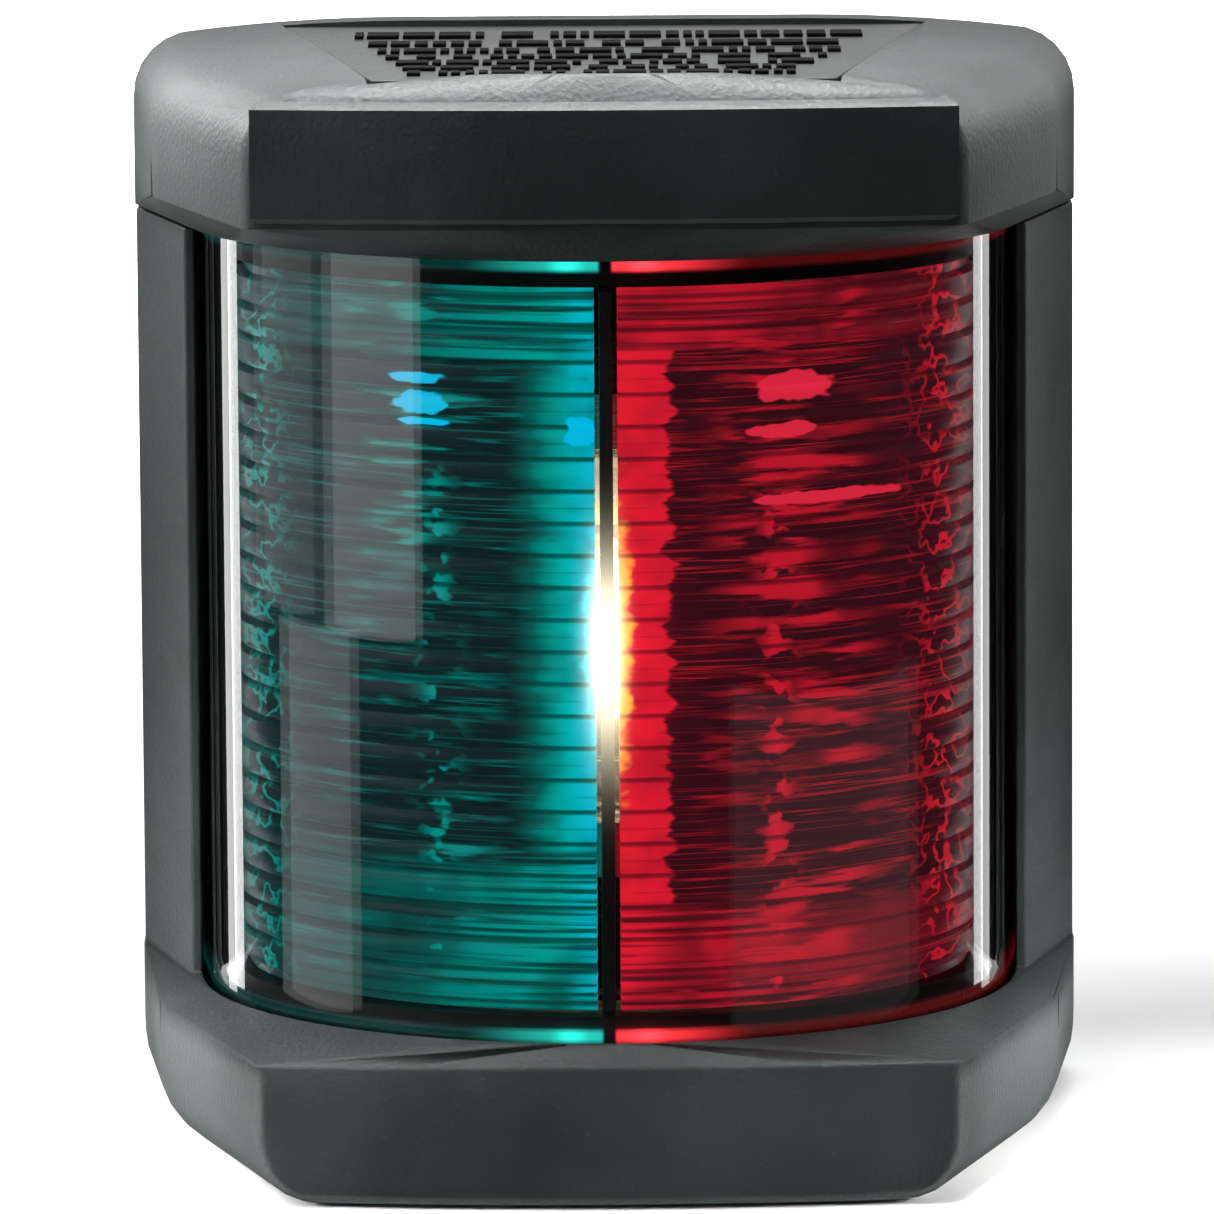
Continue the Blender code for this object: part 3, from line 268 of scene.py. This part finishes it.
def metal(name, colour, rough, brush=(0.4, 0.4, 6.0), tarnish=(0.3, 0.22, 0.12), tarnished=0.25):
    """Brushed along its shortest scale, with tarnish in patches."""
    s = Shader(name)
    lines = s.noise(s.scaled(brush), detail=4.0, rough=0.7)
    patch = s.ramp(s.noise(s.scaled((0.35, 0.35, 0.35)), detail=4.0), 0.5, 0.8, 0.0, tarnished)
    s.set(Base_Color=s.mix(patch, colour, tarnish), Metallic=1.0)
    s.set(Roughness=s.ramp(lines, 0.25, 0.75, rough, rough + 0.16))
    s.bump(lines, 0.12, 0.02)
    return s.material


def clear_plastic(name, colour=(0.97, 0.985, 0.99), ior=1.49, rough=0.012):
    """A Shader for a polished clear moulding, whose finest scratches lie level."""
    s = Shader(name)
    haze = s.noise(s.scaled((0.3, 0.3, 2.5)), detail=5.0, rough=0.65)
    s.set(Base_Color=(*colour, 1.0), Transmission_Weight=1.0, IOR=ior)
    s.set(Roughness=s.ramp(haze, 0.55, 0.85, rough, rough + 0.05))
    s.bump(haze, 0.008, 0.02)
    return s


def edge_light(s):
    """Adds the light that the lens carries to its ends: red right of the divider and green left."""
    x, _, z = s.place()
    reach = s.math("ABSOLUTE", x)
    patch = s.ramp(s.apart(reach, 2.6), 0.0, 1.6, 0.9, 0.0)
    fade = s.math("ADD", s.ramp(reach, 1.5, 10.0, 1.0, 0.05), patch)
    top = s.math("MULTIPLY", s.ramp(z, RING_TOP - 0.25, RING_TOP + 0.1), s.ramp(z, LIP_Z + 0.05, LIP_Z - 0.15))
    foot = s.ramp(z, LEDGE_Z + 0.75, LEDGE_Z + 0.55)
    foot = s.math("MULTIPLY", s.ramp(z, LEDGE_Z - 0.2, LEDGE_Z), foot)
    off_divider = s.ramp(reach, 0.3, 0.6)
    band = s.product(s.math("ADD", top, foot), fade, off_divider)
    side = s.ramp(x, -0.1, 0.1)
    s.set(Emission_Color=s.mix(side, (0.01, 0.33, 0.27), (0.8, 0.03, 0.04)))
    s.set(Emission_Strength=s.math("MULTIPLY", band, 0.9))


def filter_material(
    name,
    *,
    dark,
    mid,
    bright,
    near,
    glow,
    spot,
    column,
    rows_at,
    seed,
    spots_at,
    curls_at,
    streak_low,
    white_wide,
):
    """A lit colour filter seen from in front.

    A bright column stands by the divider, bright rows run along both ends, and streaks, curls and spots of
    light lie between. Distances are in millimetres from the divider and in height. dark, mid and bright are the
    filter's tones, near is its bright tone beside the divider, and glow and spot are the colours of the flames
    and spots. column is a width and how softly it ends, rows_at is where the rows at the foot and at the top
    begin, and each of spots_at is a distance, a height, a width and a depth. curls_at is a distance, streak_low
    is the noise level where streaks start, and white_wide is the width of the white spot.
    """
    column_wide, column_soft = column
    row_low, row_high = rows_at
    hot_z = BULB_Z + 2.4
    flame_z = BULB_Z + 2.3
    s = Shader(name)
    x, _, z = s.place()
    out = s.math("ABSOLUTE", x)

    def pattern(out_scale, z_scale, shift, detail=2.0, rough=0.55):
        """Noise over the filter's face, with its own scale each way."""
        place = s.node(
            "ShaderNodeCombineXYZ",
            X=s.math("MULTIPLY", out, out_scale),
            Y=s.math("MULTIPLY", z, z_scale),
            Z=shift + seed,
        )
        return s.noise(place.outputs[0], detail=detail, rough=rough)

    # the prisms' grooves, and a fainter line halfway up each face
    rise = s.math("DIVIDE", s.math("SUBTRACT", z, PRISM_FOOT), PRISM_PITCH)
    groove = s.ramp(s.apart(s.math("FRACT", rise), 0.5), 0.38, 0.47)
    finer = s.apart(s.math("FRACT", s.math("MULTIPLY", rise, 2.0)), 0.5)
    hairline = s.math("MULTIPLY", s.ramp(finer, 0.4, 0.5), s.ramp(pattern(0.3, 0.5, 3.0), 0.4, 0.55))

    # the column by the divider
    wobble = pattern(0.02, 0.75, 1.0, detail=3.0)
    edge = s.ramp(wobble, 0.3, 0.7, column_wide - 0.75, column_wide + 0.75, smooth=False)
    lit_column = s.ramp(s.math("SUBTRACT", out, edge), column_soft, -0.1)
    under_top = s.ramp(z, row_high + 0.4, row_high)
    over_foot = s.ramp(z, row_low - 0.5, row_low + 0.5)
    tall = s.math("MULTIPLY", under_top, over_foot)
    shade = s.ramp(pattern(0.25, 0.3, 7.0), 0.3, 0.65, 0.72, 1.05)
    lit_column = s.product(lit_column, tall, shade)

    # the rows at both ends
    stripes = s.ramp(pattern(0.035, 1.5, 13.0), 0.36, 0.56, 0.12, 1.0)
    at_top = s.ramp(z, row_high - 0.1, row_high + 0.2)
    at_foot = s.ramp(z, row_low + 0.2, row_low - 0.3)
    reach = s.ramp(out, 2.0, 25.0, 1.0, 0.0, smooth=False)
    reach = s.math("MULTIPLY", reach, s.ramp(pattern(0.16, 0.12, 17.0), 0.3, 0.6, 0.45, 1.0))
    rows = s.product(s.math("ADD", at_top, at_foot), stripes, reach)

    # streaks, threads, curls and a chain of glints
    streaks = s.ramp(pattern(0.11, 0.85, 23.0, detail=3.0), streak_low, streak_low + 0.1)
    field = s.math("MULTIPLY", s.ramp(out, 5.5, 9.5), s.ramp(out, 20.0, 15.5))
    field = s.math("MULTIPLY", field, s.ramp(pattern(0.12, 0.1, 29.0), 0.38, 0.56, 0.15, 1.0))
    streaks = s.product(streaks, field, 0.88)
    threads = s.ramp(s.apart(pattern(0.035, 1.7, 31.0), 0.5), 0.03, 0.006)
    threads = s.math("MULTIPLY", threads, s.ramp(pattern(0.2, 0.3, 37.0), 0.38, 0.6, 0.12, 0.62))
    curls = s.ramp(s.apart(pattern(0.62, 0.42, 41.0, detail=2.5), 0.5), 0.04, 0.012)
    curls = s.math("MULTIPLY", curls, s.bell(out, curls_at, 1.9))
    chain = s.math("MULTIPLY", s.ramp(pattern(0.5, 0.62, 43.0), 0.52, 0.6), s.bell(out, 11.2, 1.3))
    chain = s.math("MULTIPLY", chain, s.ramp(z, row_high - 6.0, row_high - 9.0))

    ragged = s.math("MULTIPLY", s.math("SUBTRACT", pattern(0.45, 0.8, 47.0), 0.5), 1.1)
    spots = []
    for at, height, wide, high in spots_at:
        blob = s.math("MULTIPLY", s.bell(out, at, wide), s.bell(z, height, high))
        spots.append(s.ramp(s.math("ADD", blob, ragged), 0.36, 0.5))

    lit = s.most(streaks, threads, curls, chain)
    lit = s.most(s.math("MULTIPLY", lit, 0.8), rows, lit_column)
    lit = s.math("MULTIPLY", lit, s.math("SUBTRACT", 1.0, s.math("MULTIPLY", groove, 0.6)))
    lit = s.math("MULTIPLY", lit, s.math("SUBTRACT", 1.0, s.math("MULTIPLY", hairline, 0.3)))

    low = s.mix(s.ramp(lit, 0.0, 0.5, smooth=False), dark, mid)
    from_divider = s.math("ADD", out, s.math("MULTIPLY", wobble, 2.0))
    tone = s.mix(s.ramp(from_divider, 2.2, 4.6), near, bright)
    emitted = s.mix(s.ramp(lit, 0.45, 1.0, smooth=False), low, tone)
    emitted = s.mix(s.most(*spots), emitted, spot)

    # flames beside the bulb's middle, then its white spot and the haze round that
    beside = s.math("MULTIPLY", s.bell(z, flame_z, 9.5), s.ramp(out, 2.6, 0.5))
    licks = s.math("MULTIPLY", s.math("SUBTRACT", pattern(0.5, 0.7, 53.0), 0.5), 1.2)
    flames = s.ramp(s.math("ADD", beside, licks), 0.3, 0.75)
    flames = s.product(flames, s.ramp(out, 2.9, 2.2), s.bell(z, flame_z, 16.0))
    flames = s.math("MULTIPLY", flames, s.math("SUBTRACT", 1.0, s.math("MULTIPLY", groove, 0.7)))
    emitted = s.add(emitted, s.tint(glow, flames))
    white = s.math("MULTIPLY", s.bell(z, hot_z, 4.9), s.bell(out, 0.0, white_wide))
    emitted = s.add(emitted, s.tint((3.4, 3.0, 2.2), white))
    haze = s.math("MULTIPLY", s.bell(z, hot_z, 7.5), s.bell(out, 0.0, 2.8))
    emitted = s.add(emitted, s.tint(tuple(0.4 * channel for channel in bright), haze))

    s.set(Base_Color=(*dark, 1.0), Specular_IOR_Level=0.18)
    s.set(Roughness=s.ramp(streaks, 0.0, 1.0, 0.32, 0.42))
    s.set(Emission_Color=emitted, Emission_Strength=1.0)
    s.bump(s.noise(s.scaled((0.5, 0.5, 1.2)), detail=3.0), 0.2, 0.1)
    return s.material


def bulb_glass_material():
    """Clear glass, with the filament's glare round its middle."""
    s = clear_plastic("bulb_glass_clear", (0.98, 0.98, 0.97), ior=1.5, rough=0.004)
    glare = s.bell(s.place()[2], BULB_Z, 5.5)
    s.set(Emission_Color=(1.0, 0.84, 0.55, 1.0), Emission_Strength=s.math("MULTIPLY", glare, 0.9))
    return s.material


def divider_material():
    """Dark plate with the filament's light on its front edge."""
    s = Shader("divider_plate")
    glow = s.bell(s.place()[2], BULB_Z + 1.8, 5.2)
    mottled = s.noise(s.scaled((1.5, 1.5, 1.5)), detail=3.0)
    s.set(Base_Color=s.mix(mottled, (0.006, 0.007, 0.008), (0.02, 0.02, 0.022)), Roughness=0.45)
    s.set(Emission_Color=(1.0, 0.86, 0.6, 1.0), Emission_Strength=s.math("MULTIPLY", glow, 2.6))
    s.bump(mottled, 0.2, 0.05)
    return s.material


def filament_material():
    """Wire that is hottest at its middle and dark at its ends."""
    s = Shader("hot_filament")
    heat = s.ramp(s.apart(s.place()[2], BULB_Z), 8.5, 4.5)
    s.set(Base_Color=(0.4, 0.4, 0.42, 1.0), Metallic=1.0, Roughness=0.4)
    s.set(Emission_Color=s.mix(heat, (1.0, 0.25, 0.05), (1.0, 0.8, 0.5)))
    s.set(Emission_Strength=s.math("MULTIPLY", heat, 5.0))
    return s.material


# ---------------------------------------------------------------- shapes
def flank_outline(radius, back, steps=72):
    """The lens's plan: round ahead of the bulb, with straight flanks that open towards the back."""
    start = (radius * math.cos(LENS_FLANK), AXIS_F + radius * math.sin(LENS_FLANK))
    points = [(start[0] + (start[1] - back) * math.tan(LENS_FLANK), back)]
    for i in range(steps + 1):
        turn = LENS_FLANK + (math.pi / 2 - LENS_FLANK) * i / steps
        points.append((radius * math.cos(turn), AXIS_F + radius * math.sin(turn)))
    return points + [(-x, f) for x, f in reversed(points[:-1])]


def swept_ring(bm, section, stations):
    """Joins copies of a closed section, one at each station, and closes both ends."""
    rings = [[bm.verts.new(place(point)) for point in section] for place in stations]
    for one, two in zip(rings, rings[1:]):
        for i in range(len(section)):
            j = (i + 1) % len(section)
            bm.faces.new((one[i], one[j], two[j], two[i]))
    bm.faces.new(list(reversed(rings[0])))
    bm.faces.new(rings[-1])
    bmesh.ops.recalc_face_normals(bm, faces=bm.faces)


def new_object(name, bm, sharp_deg=32.0):
    """A mesh object with smooth faces and edges that are sharp over this angle."""
    mesh = bpy.data.meshes.new(name)
    bm.to_mesh(mesh)
    bm.free()
    obj = bpy.data.objects.new(name, mesh)
    bpy.context.scene.collection.objects.link(obj)
    for face in mesh.polygons:
        face.use_smooth = True
    mesh.set_sharp_from_angle(angle=math.radians(sharp_deg))
    return obj


def soften(obj, width_mm, segments=2, over_deg=30.0):
    """Small rounded edges."""
    bevel = obj.modifiers.new("edges", "BEVEL")
    bevel.width = width_mm * MM
    bevel.segments = segments
    bevel.limit_method = "ANGLE"
    bevel.angle_limit = math.radians(over_deg)
    bevel.harden_normals = True
    bevel.use_clamp_overlap = True
    bevel.miter_outer = "MITER_ARC"
    return obj


NODES_OF_SLOT = {
    "housing_plastic": ["housing", "top_cap"],
    "label_plastic": ["rating_plate"],
    "inner_plastic": ["filter_frame", "bulb_carrier", "sector_divider"],
    "rubber": ["cable_grommet", "lens_seal", "cap_seal", "screw_o_ring"],
    "foam": ["wall_gasket"],
    "clear_lens": ["clear_lens"],
    "green_filter": ["green_filter"],
    "red_filter": ["red_filter"],
    "stainless": [
        "retaining_screw",
        "carrier_screw_left",
        "carrier_screw_right",
        "cap_screw_left",
        "cap_screw_right",
        "terminal_screw_upper",
        "terminal_screw_lower",
    ],
    "brass": ["contact_upper", "contact_lower", "wire_clamp_upper", "wire_clamp_lower", "threaded_insert"],
    "nickel": ["bulb_cap_upper", "bulb_cap_lower"],
    "bulb_glass": ["bulb_glass"],
    "filament": ["filament"],
}
SLOTS = {node: slot for slot, nodes in NODES_OF_SLOT.items() for node in nodes}
BODIES = {node: body for body, nodes in frame["record"]["behaviour"]["bodies"].items() for node in nodes}


def stands_for(obj, node, look):
    """Gives a new piece its material, and the place of a CAD node."""
    obj.data.materials.clear()
    obj.data.materials.append(look)
    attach(obj, BODIES[node])
    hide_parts(node)
    return obj


def finished(node, look, edge_mm=0.15, sharp_deg=32.0):
    """A CAD node's own shape with rounded edges and smooth curved faces."""
    bm = bmesh.new()
    bm.from_mesh(frame["nodes"][node].data)
    bmesh.ops.remove_doubles(bm, verts=bm.verts, dist=2e-6)
    bmesh.ops.dissolve_limit(bm, angle_limit=math.radians(0.3), verts=bm.verts, edges=bm.edges)
    bmesh.ops.recalc_face_normals(bm, faces=bm.faces)
    obj = new_object(f"{node}_finish", bm, sharp_deg)
    if edge_mm:
        soften(obj, edge_mm)
    return stands_for(obj, node, look)


def make_lens(look):
    """The lens as one wall swept round its plan, with finer steps than the CAD node has."""
    section = [(0.0, LENS_Z[0]), (LENS_WALL, LENS_Z[0]), (LENS_WALL, LENS_Z[1]), (0.0, LENS_Z[1])]
    outer = flank_outline(LENS_R, LENS_F[0])
    inner = flank_outline(LENS_R - LENS_WALL, LENS_F[0])

    def station(out, into):
        def place(point):
            share = point[0] / LENS_WALL
            x = out[0] + (into[0] - out[0]) * share
            forward = out[1] + (into[1] - out[1]) * share
            return Vector((x, -forward, point[1])) * MM

        return place

    bm = bmesh.new()
    swept_ring(bm, section, [station(o, i) for o, i in zip(outer, inner)])
    lens = soften(new_object("lens_shell", bm), 0.12, segments=2, over_deg=50.0)
    return stands_for(lens, "clear_lens", look)


def prism_section():
    """Smooth inside; outside, a stack of prisms with slightly crowned faces and V grooves between them."""
    low, high = FILTER_Z
    root = FILTER_R - PRISM_DEEP
    inner = FILTER_R - FILTER_THICK
    section = [(inner, high), (inner, low), (root, low)]
    face_half = 0.36
    for i in range(PRISM_COUNT):
        foot = PRISM_FOOT + i * PRISM_PITCH
        section.append((root, foot))
        for share in (0.14, 0.3, 0.5, 0.7, 0.86):
            crown = PRISM_CROWN * (1 - ((share - 0.5) / face_half) ** 2)
            section.append((FILTER_R - PRISM_CROWN + crown, foot + share * PRISM_PITCH))
    section.append((root, PRISM_FOOT + PRISM_COUNT * PRISM_PITCH))
    section.append((root, high))
    return section


def make_filter(node, side, look, steps=64):
    """One filter with its prisms. side is -1 for the left filter and 1 for the right one."""
    inner = FILTER_R - FILTER_THICK
    clear = math.asin((DIVIDER_X[1] + DIVIDER_GAP) / inner)
    start, end = math.pi / 2 - clear, -FILTER_END

    def station(turn):
        def place(point):
            radius, z = point
            return Vector((side * radius * math.cos(turn), -(AXIS_F + radius * math.sin(turn)), z)) * MM

        return place

    bm = bmesh.new()
    section = prism_section()
    swept_ring(bm, section, [station(start + (end - start) * i / steps) for i in range(steps + 1)])
    return stands_for(new_object(f"{node}_prisms", bm, sharp_deg=24.0), node, look)


def make_label(look, raised):
    """A plate with rows of plain raised bars where the real one has its data."""
    plate = finished("rating_plate", look, edge_mm=0.12)
    rng = random.Random(7)
    # how far each row is in front of the wall, and how deep it is
    rows = ((44.6, 2.0), (40.8, 1.9), (36.6, 2.2), (32.2, 1.9), (27.4, 2.2), (21.6, 2.4), (14.5, 3.2))
    bars_z = (LABEL_Z[1] - 0.2, LABEL_Z[1] + 0.26)
    bm = bmesh.new()
    for forward, deep in rows:
        share = (LABEL_F[1] - forward) / (LABEL_F[1] - LABEL_F[0])
        half = LABEL_FRONT_HALF + (LABEL_BACK_HALF - LABEL_FRONT_HALF) * share - LABEL_MARGIN
        x = -half + rng.uniform(0.0, 1.5)
        while x < half - 1.0:
            long = min(rng.choice((0.6, 0.9, 1.3, 2.2)), half - x)
            add_bar(bm, (x, x + long), (forward - deep / 2, forward + deep / 2), bars_z)
            x += long + rng.choice((0.25, 0.3, 0.35, 1.2))
    bars = soften(new_object("label_bars", bm), 0.07, segments=2)
    bars.data.materials.append(raised)
    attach(bars, BODIES["rating_plate"])
    return plate


def add_bar(bm, x, forward, z):
    """A box between these pairs of places, in millimetres."""
    made = bmesh.ops.create_cube(bm, size=1.0)["verts"]
    size = Vector((x[1] - x[0], forward[1] - forward[0], z[1] - z[0])) * MM
    middle = Vector((x[0] + x[1], -(forward[0] + forward[1]), z[0] + z[1])) * (MM / 2)
    for vert in made:
        vert.co = Vector(a * b for a, b in zip(vert.co, size)) + middle


# ---------------------------------------------------------------- studio
def area_light(name, at, look_at, width, height, radiance, spread_deg=180.0):
    """A softbox of this radiance that shines within this angle. Places and sizes are in metres."""
    data = bpy.data.lights.new(name, "AREA")
    data.shape = "RECTANGLE"
    data.size = width
    data.size_y = height
    data.energy = radiance * math.pi * width * height
    data.spread = math.radians(spread_deg)
    light = bpy.data.objects.new(name, data)
    bpy.context.scene.collection.objects.link(light)
    away = Vector(at) - Vector(look_at)
    light.matrix_world = Matrix.Translation(at) @ away.to_track_quat("Z", "Y").to_matrix().to_4x4()
    light.visible_camera = False
    return light


def mirrored_at(lens_deg, distance):
    """Where a sight line from ahead, mirrored at this angle round the lens, is at this distance from the axis."""
    turn = math.radians(lens_deg)
    start = Vector((math.sin(turn), math.cos(turn))) * LENS_R * MM
    ray = Vector((math.sin(2 * turn), math.cos(2 * turn)))
    reach = -start.dot(ray) + math.sqrt(start.dot(ray) ** 2 - start.length_squared + distance**2)
    return start + ray * reach


def side_card(name, lens_degs, distance, z, radiance):
    """An upright card that the lens mirrors between these two angles round it, positive to the right."""
    one, two = (mirrored_at(degrees, distance) for degrees in lens_degs)
    middle = (one + two) / 2
    centre = Vector((middle.x, -(AXIS_F * MM + middle.y), (z[0] + z[1]) / 2))
    facing = Vector((one.y - two.y, -(two.x - one.x), 0.0))
    if facing.dot(centre) > 0:
        facing = -facing
    return area_light(name, centre, centre + facing, (two - one).length, z[1] - z[0], radiance)


def make_card(name, bm, shade, glow=0.0):
    """A card that only glossy and clear surfaces can mirror."""
    card = new_object(name, bm)
    s = Shader(f"{name}_look")
    s.set(Base_Color=(shade, shade, shade, 1.0), Roughness=1.0, Specular_IOR_Level=0.0)
    s.set(Emission_Color=(1.0, 1.0, 1.0, 1.0), Emission_Strength=glow)
    card.data.materials.append(s.material)
    card.visible_camera = False
    card.visible_diffuse = False
    card.visible_shadow = False
    return card


def make_flags():
    """Black cards at both sides and on the floor in front, which keep the lens and the dark plastic dark."""
    plan = [(0.036, 0.022), (0.06, 0.03), (0.085, 0.02), (0.11, -0.02), (0.115, -0.05)]
    low, high = FLOOR_Z + 0.0005, 0.034
    for name, side in (("left_flag", -1), ("right_flag", 1)):
        bm = bmesh.new()
        rows = [[bm.verts.new((side * x, y, z)) for x, y in plan] for z in (low, high)]
        for i in range(len(plan) - 1):
            bm.faces.new((rows[0][i], rows[0][i + 1], rows[1][i + 1], rows[1][i]))
        make_card(name, bm, BLACK)

    near, far, wide, low = 0.02, -0.7, 0.7, FLOOR_Z + 0.0003
    bm = bmesh.new()
    corners = ((-wide, far), (wide, far), (wide, near), (-wide, near))
    bm.faces.new([bm.verts.new((x, y, low)) for x, y in corners])
    make_card("front_floor_flag", bm, BLACK)


def make_back_card():
    """A pale card behind the object, for the top of the cap to mirror."""
    wide, y, low, high = 0.4, 0.16, FLOOR_Z + 0.001, 0.5
    bm = bmesh.new()
    corners = ((-wide, low), (wide, low), (wide, high), (-wide, high))
    bm.faces.new([bm.verts.new((x, y, z)) for x, z in corners])
    card = make_card("back_card", bm, 0.0, glow=0.75)
    card.visible_transmission = False


def make_floor():
    bm = bmesh.new()
    bmesh.ops.create_grid(bm, x_segments=8, y_segments=8, size=12.0)
    for vert in bm.verts:
        vert.co.z = FLOOR_Z - 0.0002
    floor = new_object("floor", bm)
    s = Shader("pale_floor")
    patches = s.node("ShaderNodeMapping", Vector=s.coords, Scale=(9.0, 9.0, 9.0)).outputs[0]
    mottled = s.noise(patches, detail=4.0)
    s.set(Base_Color=s.mix(mottled, (0.88, 0.88, 0.88), (0.92, 0.92, 0.92)), Roughness=0.9)
    floor.data.materials.append(s.material)


def make_world():
    """A world that is dim in front of the object and brighter behind it."""
    world = bpy.data.worlds.new("studio")
    bpy.context.scene.world = world
    world.use_nodes = True
    tree = world.node_tree
    background = tree.nodes["Background"]
    coords = tree.nodes.new("ShaderNodeTexCoord")
    parts = tree.nodes.new("ShaderNodeSeparateXYZ")
    shade = tree.nodes.new("ShaderNodeMapRange")
    tree.links.new(coords.outputs["Generated"], parts.inputs[0])
    tree.links.new(parts.outputs[1], shade.inputs["Value"])
    for key, value in (("From Min", -0.2), ("From Max", 0.9), ("To Min", 0.06), ("To Max", 0.6)):
        shade.inputs[key].default_value = value
    tree.links.new(shade.outputs[0], background.inputs["Strength"])
    background.inputs["Color"].default_value = (0.97, 0.99, 1.0, 1.0)


def make_studio():
    make_floor()
    make_world()
    area_light("overhead", (0.0, 0.5, 0.75), (0.0, 0.8, 0.0), 1.6, 0.9, 5.0, spread_deg=90.0)
    foot = FLOOR_Z + 0.0005
    side_card("left_softbox_high", (-28.0, -44.0), 0.085, (-0.009, 0.06), 1.1)
    side_card("left_softbox_low", (-39.3, -54.0), 0.085, (foot, -0.009), 0.75)
    side_card("left_softbox_faint", (-46.0, -60.0), 0.09, (-0.009, 0.06), 0.4)
    side_card("right_card", (18.0, 50.0), 0.085, (foot, -0.012), 0.12)
    side_card("left_strip", (-68.0, -71.5), 0.06, (foot, 0.04), 3.0)
    side_card("right_strip", (68.0, 71.5), 0.06, (foot, 0.04), 2.2)
    make_flags()
    make_back_card()
    area_light("crown_light", (0.0, -0.045, 0.14), (0.0, -0.045, 0.037), 0.1, 0.03, 6.0, spread_deg=50.0)
    area_light("front_fill", (-0.5, -0.35, 0.6), (0.0, -0.03, 0.0), 0.4, 0.4, 1.0, spread_deg=40.0)
    for side, name, radiance in ((-1, "left", 3.6), (1, "right", 1.0)):
        at, cap_corner = (side * 0.09, 0.0, 0.075), (side * 0.03, -0.03, 0.034)
        area_light(f"{name}_high_rim", at, cap_corner, 0.05, 0.03, radiance, spread_deg=50.0)
        at, hood_facet = (side * 0.1, -0.07, -0.01), (side * 0.032, -0.032, -0.032)
        low = area_light(f"{name}_low_rim", at, hood_facet, 0.03, 0.02, 7.5, spread_deg=40.0)
        low.visible_glossy = False
        low.visible_transmission = False


# ---------------------------------------------------------------- the light
def make_object():
    # the shell gets painted side light on the cap and the lower hood where they turn away from straight ahead
    shell = grained_plastic("black_shell", (0.0135, 0.018, 0.018), painted_side_light=0.13)
    inner = grained_plastic("inner_black", (0.008, 0.008, 0.009), 0.2, rough=0.55, grain=0.3, dust=0.15)
    label = grained_plastic(
        "label_black", (0.02, 0.022, 0.022), 0.15, rough=0.35, grain=0.2, dust=0.3, gloss=0.22
    )
    raised = grained_plastic(
        "label_relief", (0.003, 0.003, 0.0035), 0.15, rough=0.6, grain=0.2, dust=0.05, gloss=0.02
    )
    seal = rubber("seal_rubber")
    foam = rubber("gasket_foam", (0.02, 0.02, 0.021), cells_mm=0.35)
    steel = metal("stainless_steel", (0.62, 0.61, 0.59), 0.22)
    brass = metal("contact_brass", (0.72, 0.56, 0.28), 0.24, tarnish=(0.22, 0.13, 0.06), tarnished=0.4)
    nickel = metal("bulb_nickel", (0.68, 0.66, 0.62), 0.18)
    glass = bulb_glass_material()
    lens = clear_plastic("lens_acrylic")
    edge_light(lens)

    green = filter_material(
        "green_filter_lit",
        dark=(0.004, 0.013, 0.015),
        mid=(0.0, 0.12, 0.1),
        bright=(0.0, 0.37, 0.33),
        near=(0.0, 0.48, 0.6),
        glow=(0.0, 0.4025, 0.575),
        spot=(0.0, 0.5, 0.78),
        column=(2.6, 4.2),
        rows_at=(-14.6, 18.6),
        seed=3.0,
        spots_at=((12.4, 17.3, 1.7, 0.45), (12.0, 15.6, 2.2, 0.75), (11.8, 14.3, 1.8, 0.3), (1.6, 14.0, 1.1, 1.1)),
        curls_at=23.0,
        streak_low=0.53,
        white_wide=1.0,
    )
    red = filter_material(
        "red_filter_lit",
        dark=(0.03, 0.0035, 0.007),
        mid=(0.3, 0.007, 0.017),
        bright=(0.74, 0.01, 0.03),
        near=(0.78, 0.012, 0.03),
        glow=(1.035, 0.575, 0.023),
        spot=(0.72, 0.02, 0.05),
        column=(4.0, 0.35),
        rows_at=(-18.2, 19.2),
        seed=17.0,
        spots_at=((12.6, 16.6, 2.6, 1.1), (11.9, 13.6, 2.6, 0.5), (14.0, 9.0, 5.0, 0.5)),
        curls_at=22.3,
        streak_low=0.49,
        white_wide=0.8,
    )
    make_lens(lens.material)
    make_filter("green_filter", -1, green)
    make_filter("red_filter", 1, red)
    make_label(label, raised)
    finished("sector_divider", divider_material(), 0.1)
    finished("filament", filament_material(), 0.0, sharp_deg=60.0)

    looks = {
        "housing_plastic": (shell, 0.22),
        "inner_plastic": (inner, 0.12),
        "rubber": (seal, 0.15),
        "foam": (foam, 0.15),
        "stainless": (steel, 0.1),
        "brass": (brass, 0.08),
        "nickel": (nickel, 0.08),
        "bulb_glass": (glass, 0.0),
    }
    done = {"clear_lens", "green_filter", "red_filter", "rating_plate", "sector_divider", "filament"}
    for node in sorted(frame["nodes"]):
        if node not in done:
            look, edge = looks[SLOTS[node]]
            finished(node, look, edge)


make_camera()
make_studio()
make_object()
